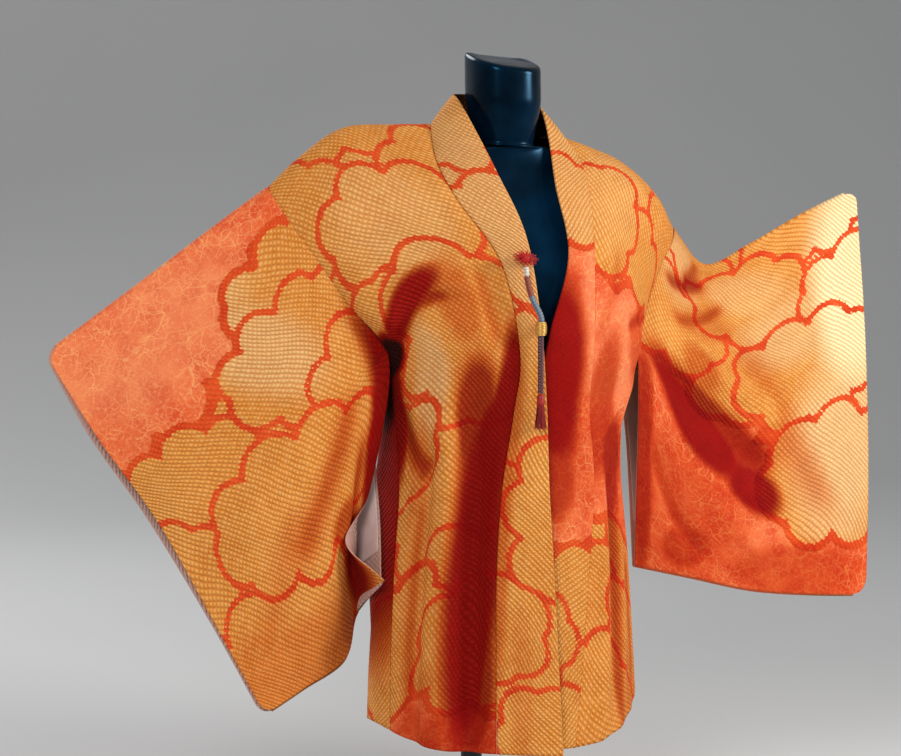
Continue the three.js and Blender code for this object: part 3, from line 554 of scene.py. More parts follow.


# Painted light: places where the gold and coral are lightened, in the same columns.
PAINTED_LIGHTS = {
    "sleeve_left": [(31.5, 12, 7, 17, 0, 1), (28.5, 34, 7, 12, 0, 0.42), (22, 16, 8, 6, 0, 0.3),
                    (15, 8, 8, 4, 20, 0.2), (3, 8, 4, 7, 0, 0.3)],
    "body_left": [(16, 8, 6, 8, 0, 0.1), (10.5, 28, 6, 8, 0, 0.7)],
    "body_right": [(10, 12, 7, 8, 0, 0.15), (6, 32, 2.2, 7, 0, 0.25)],
    "band_left": [(3, 2, 6, 12, 0, 0.15), (0.4, 19, 2, 9, 0, 0.6)],
    "band_right": [(3, 8, 6, 16, 0, 0.2)],
    "sleeve_right": [(12, 15, 5, 9, 30, 0.25), (26, 3, 18, 11, 0, 0.45)],
}


# The troughs of creases get painted shade, strongest at this depth.
TROUGH = 0.006  # depth in metres at which a crease is fully dark


def toned(name, u, v, places, start):
    """How strongly a point lies in the listed places of a table, from 0 to 1."""
    tone = start
    for across, along, half_w, half_h, turn, strength in places.get(name, []):
        c, s = math.cos(math.radians(turn)), math.sin(math.radians(turn))
        du, dv = u * 100 - across, v * 100 - along
        far = np.hypot((du * c + dv * s) / half_w, (dv * c - du * s) / half_h)
        soft = np.clip((1.3 - far) / 0.75, 0, 1)
        tone = np.maximum(tone, strength * eased(soft))
    return tone


def dye_and_painted_light_fields(name, u, v, out):
    """The cloud dyes of a piece, with painted shade in its crease troughs and listed places, and painted
    light.
    """
    fields = cloud_fields(name, u, v)
    fields["deep"] = toned(name, u, v, SHADES, np.clip(-out / TROUGH, 0, 1) * 0.8)
    fields["pale"] = toned(name, u, v, PAINTED_LIGHTS, u * 0)
    return fields


def soft_waves(u, v, seed, size):
    """Small uneven swells of hanging cloth, in metres."""
    a = np.sin(9.1 * u + 5.3 * v + seed) * np.sin(7.7 * v - 3.1 * u + 2.1 * seed)
    b = np.sin(23.0 * u - 11.0 * v + 3.7 * seed) * np.sin(17.0 * v + 7.0 * u + seed)
    return size * (a + 0.45 * b)


def even_rows(line, count):
    """Table fractions that are evenly spaced along a line of points."""
    length = run_along(line)
    return np.interp(np.linspace(0, length[-1], count), length, np.linspace(0, 1, len(line)))


# How the dots of each piece are scaled down from the material's.
DOT = {"body": 0.92, "sleeve_right": 0.94, "sleeve_left": 1.0}
CLOTH_WALL = 0.0014
BODY_GRID = (380, 62)


def make_body(name):
    side = SIDE[name]
    coarse = np.linspace(0, 1, 600)
    along = even_rows(body_points(name, coarse, [0.6])[:, 0], BODY_GRID[0])
    fold_row = int(np.argmin(np.abs(along - FOLD_ROW / LAST_ROW)))
    across = steps(BODY_GRID[1], (0.006, 0.013))
    p = body_points(name, along, across)
    u, v = cloth_uv(p, fold_row, "far")
    n = grid_normals(p) * -side
    out = creased("body_" + name, u, v) + soft_waves(u, v, 1.3 + side, 0.0009)
    hold = np.clip(np.minimum(across, 1 - across) * 10, 0, 1)[None, :]
    over_shoulder = np.exp(-(v / 0.06) ** 2)
    p = swung(p + n * (out * hold * (1 - over_shoulder))[..., None])

    def keep(points):
        """Holds the back on its own side of the centre-back seam."""
        made = points.copy()
        behind = made[..., 1] > 0
        made[..., 0] = np.where(behind, side * np.maximum(side * made[..., 0], SEAM / 8), made[..., 0])
        return made

    rows = v.mean(axis=1)[:, None] + 0 * v
    return shell("body_cloth_" + name, p, CLOTH_WALL, -side, (-side * u * DOT["body"], rows * DOT["body"]),
                 dye_and_painted_light_fields("body_" + name, u, v, out), keep=keep, thin=sewn_edge(p))


SWING = 0.0095


def swung(p):
    """The right back side edge stands out a little beside the sleeve's open side."""
    x, y, drop = p[..., 0], p[..., 1], SHOULDER - p[..., 2]
    rows = np.clip((drop - 0.35) / 0.06, 0, 1) * np.clip((0.6 - drop) / 0.08, 0, 1)
    made = p.copy()
    made[..., 0] -= SWING * rows * np.exp(-((y - 0.03) / 0.028) ** 2) * np.clip((-x - 0.1) / 0.04, 0, 1)
    return made


GUSSET_ROWS = 4.9  # rows of the body table, from the hem up


def make_gusset(name):
    down, across = np.linspace(0, 1, 120), np.linspace(0, 1, 20)
    reach = GUSSET_ROWS * (1 - down) / LAST_ROW
    a, way_a = past_edge(name, reach)
    b, way_b = past_edge(name, 1 - reach)
    gap = np.linalg.norm(b - a, axis=1)[:, None, None]
    p = curve(a[:, None], way_a[:, None] * gap, b[:, None], -way_b[:, None] * gap, across[None, :, None])
    u, v = cloth_uv(p, 0, "near")
    p = swung(p)
    fields = dye_and_painted_light_fields("gusset_" + name, u, -v, u * 0)
    return shell("gusset_cloth_" + name, p, CLOTH_WALL, SIDE[name], (u, -v), fields)


SLEEVE_SIZE = (0.33, 0.505)
SLEEVE_GRID = (104, 68)
CORNER = 0.018


def sleeve_layer(name, layer, down, across):
    """One creased layer with round corners, its cloth coordinates and how far its creases stand out."""
    side = SIDE[name]
    p = sleeve_points(name, layer, down, across)
    u, v = np.meshgrid(across * SLEEVE_SIZE[0], down * SLEEVE_SIZE[1] * (1 if layer == "front" else -1))
    reach = np.minimum(down, 1 - down) * SLEEVE_SIZE[1]
    cut = CORNER - np.sqrt(np.maximum(CORNER ** 2 - np.maximum(CORNER - reach, 0) ** 2, 0))
    for r in np.nonzero(cut > 0)[0]:
        kept = across * (1 - cut[r] / SLEEVE_SIZE[0])
        p[r] = np.stack([np.interp(kept, across, p[r, :, k]) for k in range(3)], axis=-1)
        u[r] = kept * SLEEVE_SIZE[0]
    n = grid_normals(p) * (side if layer == "front" else -side)
    out = creased("sleeve_" + name, u, v) + soft_waves(u, v, 2.6 + side, 0.0008)
    hold = np.clip(across * 14, 0, 1)[None, :] * np.clip((1 - across) * 10, 0, 1)[None, :]
    ends = np.clip(np.minimum(down, 1 - down) * 9, 0, 1)[:, None]
    return p + n * (out * hold * ends)[..., None], u, v, out


def sleeve_ring(name):
    """Up the front layer, over the fold and down the back layer, as rows of a closed tube."""
    down, across = steps(SLEEVE_GRID[0], (0.003,)), steps(SLEEVE_GRID[1], (0.006, 0.012))
    front, fu, fv, front_out = sleeve_layer(name, "front", down, across)
    back, bu, bv, back_out = sleeve_layer(name, "back", down, across)
    top = ((front[0] + back[0]) / 2 + [0, 0, 0.002])[None]
    bottom = ((front[-1] + back[-1]) / 2 - [0, 0, 0.002])[None]
    p = np.concatenate([front[::-1], top, back, bottom])
    u = np.concatenate([fu[::-1], fu[:1], bu, bu[:1]])
    v = np.concatenate([fv[::-1], fv[:1] * 0, bv, bv[-1:]])
    return p, u, v, np.concatenate([front_out[::-1], front_out[:1], back_out, back_out[-1:]])


def make_sleeve(name):
    side = -SIDE[name]
    p, u, v, out = sleeve_ring(name)
    fields = dye_and_painted_light_fields("sleeve_" + name, u, v, out)
    fields["lined"] = u * 0 + 1
    size = DOT["sleeve_" + name]
    return shell("sleeve_cloth_" + name, p, CLOTH_WALL, side, (-side * u * size, v * size), fields, ring=True)


LINING_DOWN = (0.5, 0.9)
LINING_ACROSS = (0.012, 0.25)
LINING_WALL = 0.0006


def make_lining(name):
    """The silk lining that shows on the back layer inside the sleeve's open side."""
    side = SIDE[name]
    p, u, v, _ = sleeve_layer(name, "back", np.linspace(*LINING_DOWN, 60), np.linspace(*LINING_ACROSS, 28))
    p = p + grid_normals(p) * side * (CLOTH_WALL / 2 + LINING_WALL)
    return shell("lining_silk_" + name, p, LINING_WALL, side, (u, v), {})


BAND_GRID = (240, 15)
BAND_WALL = 0.0032
BAND_START = 0.18


def make_band():
    """The collar band, from the right front hem round the neck to the left front hem."""
    across = steps(BAND_GRID[1], (0.004, 0.01, 0.018, 0.03))
    coarse = np.linspace(0, 1, 400)
    halves = []
    for name in ("right", "left"):
        up = even_rows(band_points(name, coarse, [0.5])[:, 0], BAND_GRID[0])
        p = band_points(name, up, across)
        u, v = cloth_uv(p, len(up) - 1, "near")
        v = v - BAND_START
        half = {"p": p, "u": u, "v": v, **dye_and_painted_light_fields("band_" + name, u, v, u * 0)}
        if name == "left":
            half = {key: grid[::-1][1:] for key, grid in half.items()}
        halves.append(half)
    fields = {key: np.concatenate([half[key] for half in halves]) for key in halves[0]}
    p, u, v = (fields.pop(key) for key in ("p", "u", "v"))
    return shell("collar_band_cloth", p, BAND_WALL, -1, (u, v), fields, thin=folded_edge(p, 0.0017))


# The dress form: rings by drop, wider than deep. Columns: drop, half width, front, back.
FORM = [
    (22, 50, 47, 48), (26, 72, 43, 50), (38.8, 102, 45, 56), (56.6, 130, 51, 64), (83.4, 149, 62, 73),
    (122, 156, 79, 82), (165, 154, 94, 88), (215, 144, 100, 88), (270, 135, 97, 84), (340, 126, 88, 78),
    (400, 122, 83, 78), (470, 128, 86, 84), (550, 136, 90, 92), (630, 139, 90, 94), (700, 134, 84, 88),
]
FORM_ROUND = 2.2
NECK_ROUND = 2.5
NECK = {"half_width": 43, "half_depth": 46, "bottom": 22, "top": -79, "slope": 0.16}


def ring_faces(rows, sides, caps):
    faces = []
    for r in range(rows - 1):
        for c in range(sides):
            d = (c + 1) % sides
            faces.append((r * sides + c, (r + 1) * sides + c, (r + 1) * sides + d, r * sides + d))
    if caps:
        faces.append(tuple(range(sides)))
        faces.append(tuple(range((rows - 1) * sides, rows * sides))[::-1])
    return faces


def squared(v, power):
    """A cosine or sine of a turn, pushed outwards for an oval with fuller corners."""
    return np.sign(v) * np.abs(v) ** (2 / power)


def solid(name, p, faces, uv=None):
    """A closed piece with its doubles merged and its faces outwards."""
    made = mesh_object(name, p.reshape(-1, 3), faces, uv)
    tidy(made)
    return made


def make_form_torso():
    """The torso shell, with a rounded lip at its top and bottom and a shallow hollow over the breastbone."""
    table = np.array(FORM, float)
    sides = 120
    rows = smooth(table, np.linspace(0, len(FORM) - 1, 110))
    turn = np.linspace(0, 2 * math.pi, sides, endpoint=False)
    c, s = np.cos(turn), np.sin(turn)
    half = np.where(s[None, :] < 0, rows[:, 2:3], rows[:, 3:4])
    x, y = rows[:, 1:2] * squared(c, FORM_ROUND)[None, :], half * squared(s, FORM_ROUND)[None, :]
    drop = rows[:, 0:1] + 0 * x
    bust = np.exp(-((np.abs(x) - 62) / 42) ** 2 - ((drop - 205) / 52) ** 2)
    valley = np.exp(-(x / 22) ** 2 - ((drop - 170) / 90) ** 2)
    y = y - np.where(s[None, :] < 0, 4 * bust - 6 * valley, 0)
    p = place(np.stack([x, y, drop], axis=-1))
    lip = p[:1] * [0.96, 0.96, 1]
    low = p[-1:] * [0.95, 0.95, 1]
    p = np.concatenate([lip, p, low])
    return solid("form_torso_shell", p, ring_faces(len(p), sides, True))


def make_form_neck():
    """The neck: four soft sides that narrow downwards, a tilted bevelled top and a narrow lip at its seam."""
    sides = 96
    up = np.concatenate([[0, 0.006, 0.02, 0.034], np.linspace(0.05, 0.955, 40), [0.98, 0.994, 1.0, 1.0]])
    lower = np.clip(up / 0.62, 0, 1)
    swell = 0.80 + 0.20 * eased(lower)
    swell[:4] += [0.012, 0.034, 0.034, 0.008]
    swell[-4:] = [0.985, 0.955, 0.90, 0.78]
    turn = np.linspace(0, 2 * math.pi, sides, endpoint=False)
    x = NECK["half_width"] * squared(np.cos(turn), NECK_ROUND)[None, :] * swell[:, None]
    y = NECK["half_depth"] * squared(np.sin(turn), NECK_ROUND)[None, :] * swell[:, None]
    y = y + 2.0 * (up ** 2)[:, None]
    top = NECK["top"] - 8.0 + NECK["slope"] * x * 0.6 - 0.24 * np.minimum(y - 20, 0)
    low = NECK["bottom"] - 0.3 + 0.06 * x
    drop = low * (1 - up[:, None]) + top * up[:, None]
    p = place(np.stack([x, y, drop], axis=-1))
    return solid("form_neck_plug", p, ring_faces(len(p), sides, True))


# The tie. The route is the braid's middle line, from under the tuft to the tassel.
TIE = (-10, -137)
TIE_ROUTE = [(-25, -128, 160.2), (-24.5, -131, 176), (-20, -134, 196), (-10, -137, 218), (-10, -137, 234),
             (-10, -137, 250), (-10, -137, 280), (-10, -137, 308)]
TIE_RADIUS = 0.0034
BRAID_TWIST = 900.0
BRAID_ROUND = 0.02
TUFT = (-25, -126.2, 150.5)
KNOT_DROP = 232
TASSEL_DROP = 308.4


def tie_line(count):
    table = place(TIE_ROUTE)
    last = len(table) - 1
    return smooth(table, even_rows(smooth(table, np.linspace(0, last, 300)), count) * last)


def make_tie_cord():
    """A tight four-strand braid: the tube swells where strands cross."""
    line = tie_line(190)
    sides = 24
    ways = unit(np.gradient(line, axis=0))
    first = unit(np.cross(ways, [0, 1, 0]))
    second = np.cross(ways, first)
    length = run_along(line)
    turn = np.linspace(0, 2 * math.pi, sides, endpoint=False)
    a = turn[None, :] * 2 + length[:, None] * BRAID_TWIST
    b = turn[None, :] * 2 - length[:, None] * BRAID_TWIST
    r = TIE_RADIUS * (0.86 + 0.16 * np.maximum(np.abs(np.sin(a)), np.abs(np.sin(b))))
    r[0] *= 0.5
    r[-1] *= 0.5
    p = line[:, None] + first[:, None] * (np.cos(turn)[None, :] * r)[..., None] \
        + second[:, None] * (np.sin(turn)[None, :] * r)[..., None]
    along = np.repeat(length, sides)
    around = np.tile(turn / (2 * math.pi), len(line))
    uv = np.stack([around * BRAID_ROUND, along], axis=-1)
    return solid("tie_braid", p, ring_faces(len(line), sides, True), uv)


def tidy(thing):
    """Merges doubles and turns the faces outwards."""
    mesh = bmesh.new()
    mesh.from_mesh(thing.data)
    bmesh.ops.remove_doubles(mesh, verts=mesh.verts, dist=1e-6)
    bmesh.ops.recalc_face_normals(mesh, faces=mesh.faces)
    mesh.to_mesh(thing.data)
    mesh.free()


def lathe(profile, sides, caps=True):
    """A turned body round the Z axis. The profile runs as (radius, height) in metres."""
    turn = np.linspace(0, 2 * math.pi, sides, endpoint=False)
    pr = np.array(profile)
    p = np.stack([pr[:, :1] * np.cos(turn), pr[:, :1] * np.sin(turn), pr[:, 1:] + 0 * turn], axis=-1)
    return p.reshape(-1, 3), ring_faces(len(profile), sides, caps)


def make_tie_knot():
    """Gold thread wrapped round the braid: a ring of thread turns."""
    turns, sides, ring = 9, 40, []
    for i in range(turns * 6 + 1):
        t = i / (turns * 6)
        swell = 7.0 - 1.5 * abs(2 * t - 1) ** 3
        ring.append(((swell + 0.45 * math.cos(2 * math.pi * t * turns)) / 1000, (0.5 - t) * 0.0158))
    inner = [(0.0042, -0.0079), (0.0042, 0.0079)]
    p, faces = lathe(ring + inner, sides, False)
    last = len(ring) + 1
    for c in range(sides):
        d = (c + 1) % sides
        faces.append((last * sides + c, c, d, last * sides + d))
    return solid("tie_gold_knot", p + place([(*TIE, KNOT_DROP)])[0], faces)


def threads_tree():
    """Geometry Nodes: threads along loose lines, with named sizes, a taper and closed ends."""
    tree = bpy.data.node_groups.new("threads along lines", "GeometryNodeTree")
    names = {}
    for name, kind in (("Lines", "NodeSocketGeometry"), ("Thread radius", "NodeSocketFloat"),
                       ("Thread sides", "NodeSocketInt"), ("Tip share", "NodeSocketFloat"),
                       ("Thread silk", "NodeSocketMaterial")):
        names[name] = tree.interface.new_socket(name, in_out="INPUT", socket_type=kind).identifier
    tree.interface.new_socket("Threads", in_out="OUTPUT", socket_type="NodeSocketGeometry")
    t = Tree(tree)
    given = t.node("NodeGroupInput").outputs
    lines = t.node("GeometryNodeMeshToCurve", {"Mesh": given["Lines"]}).outputs[0]
    along = t.node("GeometryNodeSplineParameter").outputs["Factor"]
    taper = t.node("ShaderNodeMapRange", {"Value": along, "To Min": 1.0, "To Max": given["Tip share"]})
    ring = t.node("GeometryNodeCurvePrimitiveCircle", {"Resolution": given["Thread sides"],
                                                       "Radius": given["Thread radius"]})
    tubes = t.node("GeometryNodeCurveToMesh", {"Curve": lines, "Profile Curve": ring.outputs["Curve"],
                                               "Scale": taper.outputs["Result"], "Fill Caps": True})
    real = t.node("GeometryNodeRealizeInstances", {"Geometry": tubes.outputs[0]})
    dyed = t.node("GeometryNodeSetMaterial", {"Geometry": real.outputs[0], "Material": given["Thread silk"]})
    t.put(t.node("NodeGroupOutput").inputs["Threads"], dyed.outputs[0])
    return tree, names


THREAD_STEPS = 5
TASSEL_THREADS = 110
TUFT_THREADS = 120
GOLDEN_TURN = 2.39996


def strands(name, roots, tips, bows, radius, head, material):
    """Three-sided threads from roots to tips, each with its own bow, over a head that holds their roots."""
    t = np.linspace(0, 1, THREAD_STEPS + 1)[:, None]
    bend = np.sin(math.pi * t * 0.5) ** 2
    paths = [root + (tip - root) * t + bow * bend for root, tip, bow in zip(roots, tips, bows)]
    points = np.concatenate(paths)
    edges = [(k, k + 1) for k in range(len(points) - 1) if (k + 1) % (THREAD_STEPS + 1)]
    lines = mesh_object(name + "_lines", points, [], edges=edges)
    tree, names = threads_tree()
    change = lines.modifiers.new("threads", "NODES")
    change.node_group = tree
    for key, value in (("Thread radius", radius), ("Thread sides", 3), ("Tip share", 0.65),
                       ("Thread silk", material)):
        change[names[key]] = value
    ready = lines.evaluated_get(bpy.context.evaluated_depsgraph_get())
    threads = bpy.data.meshes.new_from_object(ready)
    made = mesh_object(name, *head)
    mesh = bmesh.new()
    mesh.from_mesh(made.data)
    mesh.from_mesh(threads)
    mesh.to_mesh(made.data)
    mesh.free()
    bpy.data.objects.remove(lines)
    tidy(made)
    made.data.polygons.foreach_set("use_smooth", [True] * len(made.data.polygons))
    return made


def make_tassel():
    rng = np.random.default_rng(5)
    top = place([(*TIE, TASSEL_DROP)])[0]
    head, faces = lathe([(0.0004, 0.0), (0.0030, -0.0004), (0.0046, -0.003), (0.0042, -0.007),
                         (0.0048, -0.0095), (0.0046, -0.013), (0.0004, -0.0134)], 28)
    roots, tips, bows = [], [], []
    for i in range(TASSEL_THREADS):
        angle = i * GOLDEN_TURN
        out = math.sqrt((i + 0.5) / TASSEL_THREADS)
        way = np.array([math.cos(angle), math.sin(angle), 0])
        roots.append(top + way * (0.0040 * out) - [0, 0, 0.0105])
        length = 0.0415 - 0.003 * rng.random()
        tips.append(top + way * (0.0071 * out) - [0, 0, length])
        bows.append(np.array([rng.normal(0, 0.0004), rng.normal(0, 0.0004), 0]))
    return strands("tie_red_tassel", roots, tips, bows, 0.00042, (head + top, faces), tassel_silk)


def make_tuft():
    rng = np.random.default_rng(9)
    middle = place([TUFT])[0]
    head, faces = lathe([(0.0004, 0.0055), (0.004, 0.0045), (0.006, 0.0), (0.004, -0.0045),
                         (0.0004, -0.0055)], 24)
    roots, tips, bows = [], [], []
    for i in range(TUFT_THREADS):
        z = 1 - 2 * (i + 0.5) / TUFT_THREADS
        angle = i * GOLDEN_TURN
        flat = math.sqrt(1 - z * z)
        x, y = flat * math.cos(angle), flat * math.sin(angle)
        way = np.array([x * 1.25, y, z * 0.8 - 0.25 * x])
        roots.append(middle + way * 0.0045)
        tips.append(middle + way * np.array([1.0, 0.95, 0.9]) * (0.0108 + 0.0030 * rng.random()))
        bows.append(rng.normal(0, 0.0008, 3))
    return strands("tie_red_tuft", roots, tips, bows, 0.0005, (head + middle, faces), tuft_silk)


# The stand.
BASE_RADIUS = 0.160
BASE_HEIGHT = 0.014
BASE_EDGE = 0.0075
POLE_RADIUS = 0.013
AXIS = 0.00002
STAND_GAP = 0.0003


def turned_piece(name, profile, sides):
    p, faces = lathe(profile, sides)
    return solid(name, p + [*POLE, 0], faces)


def make_stand():
    """The round base plate and the pole, which ends just below the torso."""
    bottom = SHOULDER - FORM[-1][0] / 1000
    base = [(AXIS, 0.0), (BASE_RADIUS - 0.0015, 0.0), (BASE_RADIUS, 0.0015), (BASE_RADIUS, BASE_EDGE)]
    for i in range(7):
        angle = math.pi / 2 * i / 6
        base.append((BASE_RADIUS - 0.008 + 0.008 * math.cos(angle), BASE_EDGE + 0.0064 * math.sin(angle)))
    base += [(0.03, BASE_HEIGHT), (AXIS, BASE_HEIGHT)]
    low, high = BASE_HEIGHT + STAND_GAP, bottom - STAND_GAP
    pole = [(AXIS, low), (POLE_RADIUS - 0.0001, low), (POLE_RADIUS, low + 0.0004),
            (POLE_RADIUS, high - 0.0004), (POLE_RADIUS - 0.0001, high), (AXIS, high)]
    return turned_piece("stand_base_plate", base, 128), turned_piece("stand_pole_rod", pole, 64)


# Colours are the display values from 0 to 255.
def colour(r, g, b):
    line = [v / 255 for v in (r, g, b)]
    return tuple([v / 12.92 if v <= 0.04045 else ((v + 0.055) / 1.055) ** 2.4 for v in line] + [1.0])


class Tree:
    """Short calls for making one node tree."""

    def __init__(self, tree):
        self.tree = tree

    def node(self, kind, inputs=None, **settings):
        made = self.tree.nodes.new(kind)
        for key, value in settings.items():
            setattr(made, key, value)
        for key, value in (inputs or {}).items():
            self.put(made.inputs[key], value)
        return made

    def put(self, socket, value):
        if isinstance(value, bpy.types.NodeSocket):
            self.tree.links.new(value, socket)
        else:
            socket.default_value = value

    def math(self, operation, a, b=0.0):
        return self.node("ShaderNodeMath", {0: a, 1: b}, operation=operation).outputs[0]

    def times(self, a, b):
        return self.math("MULTIPLY", a, b)

    def plus(self, a, b):
        return self.math("ADD", a, b)

    def minus(self, a, b):
        return self.math("SUBTRACT", a, b)

    def vector(self, operation, a, b):
        return self.node("ShaderNodeVectorMath", {0: a, 1: b}, operation=operation).outputs[0]

    def stray(self, where, scale, detail, reach):
        """A shift in all directions that wanders with a coloured noise."""
        wander = self.node("ShaderNodeTexNoise", {"Vector": where, "Scale": scale, "Detail": detail})
        centred = self.vector("SUBTRACT", wander.outputs["Color"], (0.5, 0.5, 0.5))
        return self.node("ShaderNodeVectorMath", {0: centred, "Scale": reach}, operation="SCALE").outputs[0]

    def ramp(self, value, low, high, from_value=0.0, to_value=1.0):
        made = self.node("ShaderNodeMapRange", {"Value": value, "From Min": low, "From Max": high,
                                                "To Min": from_value, "To Max": to_value},
                         interpolation_type="SMOOTHSTEP")
        return made.outputs["Result"]

    def mix(self, factor, a, b, blend="MIX"):
        made = self.node("ShaderNodeMix", {0: factor, 6: a, 7: b}, data_type="RGBA", blend_type=blend)
        return made.outputs[2]

    def noise(self, where, scale, detail=2.0, rough=0.5):
        made = self.node("ShaderNodeTexNoise", {"Vector": where, "Scale": scale, "Detail": detail,
                                                "Roughness": rough})
        return made.outputs["Fac"]

    def wandering(self, where, scale, low, high, detail=2.0):
        """A value that wanders softly from low to high."""
        return self.ramp(self.noise(where, scale, detail), 0.3, 0.7, low, high)

    def mottled(self, where, scale, a, b, detail=2.0):
        """Two colours in soft patches."""
        return self.mix(self.wandering(where, scale, 0.0, 1.0, detail), a, b)

    def attribute(self, name):
        return self.node("ShaderNodeAttribute", attribute_name=name, attribute_type="GEOMETRY").outputs["Fac"]

    def group(self, tree, inputs):
        return self.node("ShaderNodeGroup", inputs, node_tree=tree).outputs

    def surface(self, inputs, bump=None):
        """Fills the shader's inputs. A bump is its strength, distance and height."""
        shader = self.tree.nodes["Principled BSDF"]
        for key, value in inputs.items():
            self.put(shader.inputs[key], value)
        if bump:
            made = self.node("ShaderNodeBump", dict(zip(("Strength", "Distance", "Height"), bump)))
            self.put(shader.inputs["Normal"], made.outputs["Normal"])


def new_group(name, inputs, outputs):
    """A new node group. Its inputs are (name, kind, value), and its outputs are the names of values."""
    tree = bpy.data.node_groups.new(name, "ShaderNodeTree")
    for key, kind, value in inputs:
        socket = tree.interface.new_socket(name=key, in_out="INPUT", socket_type=kind)
        if value is not None:
            socket.default_value = value
    for key in outputs:
        tree.interface.new_socket(name=key, in_out="OUTPUT", socket_type="NodeSocketFloat")
    t = Tree(tree)
    return t, t.node("NodeGroupInput").outputs, t.node("NodeGroupOutput").inputs


def tied_dots_group():
    """The raised points of tie-dyeing, in slanting rows with valleys between them that the silk darkens as
    painted shade.
    """
    t, given, out = new_group("tied dots", [("Cloth place", "NodeSocketVector", None),
                                            ("Pitch", "NodeSocketFloat", 0.005),
                                            ("Unevenness", "NodeSocketFloat", 0.0014)],
                              ("Height", "Valley", "Cell tone"))
    shake = t.stray(given["Cloth place"], 110.0, 1.0, given["Unevenness"])
    drift = t.stray(given["Cloth place"], 9.0, 0.0, 0.035)
    where = t.vector("ADD", t.vector("ADD", given["Cloth place"], shake), drift)
    parts = t.node("ShaderNodeSeparateXYZ", {0: where}).outputs
    fine = t.math("DIVIDE", 0.7071, given["Pitch"])
    a = t.times(t.minus(parts[0], parts[1]), fine)
    b = t.times(t.plus(parts[0], parts[1]), fine)
    spot = t.node("ShaderNodeCombineXYZ", {0: t.math("ROUND", a), 1: t.math("ROUND", b), 2: 0.0}).outputs[0]
    tone = t.node("ShaderNodeTexWhiteNoise", {"Vector": spot}, noise_dimensions="3D").outputs["Value"]
    rows, points = (t.plus(0.5, t.times(t.math("COSINE", t.times(v, 2 * math.pi)), 0.5)) for v in (a, b))
    height = t.times(t.math("POWER", rows, 0.7), t.plus(0.46, t.times(t.math("POWER", points, 0.8), 0.54)))
    valley = t.math("MAXIMUM", t.ramp(rows, 0.3, 0.0), t.times(t.ramp(points, 0.22, 0.0), 0.42))
    for key, value in (("Height", height), ("Valley", valley), ("Cell tone", tone)):
        t.put(out[key], value)
    return t.tree


def crepe_group():
    """The fine pebbled grain of crepe silk and its crinkle."""
    t, given, out = new_group("crepe grain", [("Cloth place", "NodeSocketVector", None)],
                              ("Grain", "Crinkle"))
    crinkle = t.node("ShaderNodeTexNoise", {"Vector": given["Cloth place"], "Scale": 260.0, "Detail": 3.0,
                                            "Distortion": 0.6}).outputs["Fac"]
    t.put(out["Grain"], t.noise(given["Cloth place"], 900.0, 2.0, 0.6))
    t.put(out["Crinkle"], crinkle)
    return t.tree


TIED_DOTS = tied_dots_group()
CREPE = crepe_group()
DOT_PITCH = 0.0050
DOT_UNEVENNESS = 0.0022


def new_material(name):
    made = bpy.data.materials.new(name)
    made.use_nodes = True
    return made, Tree(made.node_tree)


def cloth_place(t):
    return t.node("ShaderNodeUVMap", uv_map="cloth").outputs["UV"]


def object_place(t):
    return t.node("ShaderNodeTexCoord").outputs["Object"]


def pale_threads(t, where):
    """A net of fine pale threads in two sizes, strong in some places and faint in others."""
    curled = t.vector("ADD", where, t.stray(where, 60.0, 2.0, 0.012))
    strokes = []
    for scale, width in ((58.0, 0.034), (104.0, 0.05)):
        net = t.node("ShaderNodeTexVoronoi", {"Vector": curled, "Scale": scale, "Randomness": 1.0},
                     feature="DISTANCE_TO_EDGE", voronoi_dimensions="3D").outputs["Distance"]
        strokes.append(t.ramp(net, width, width * 0.25))
    both = t.math("MAXIMUM", strokes[0], t.times(strokes[1], 0.6))
    return t.times(both, t.ramp(t.noise(where, 26.0, 3.0), 0.34, 0.62, 0.15, 1.0))


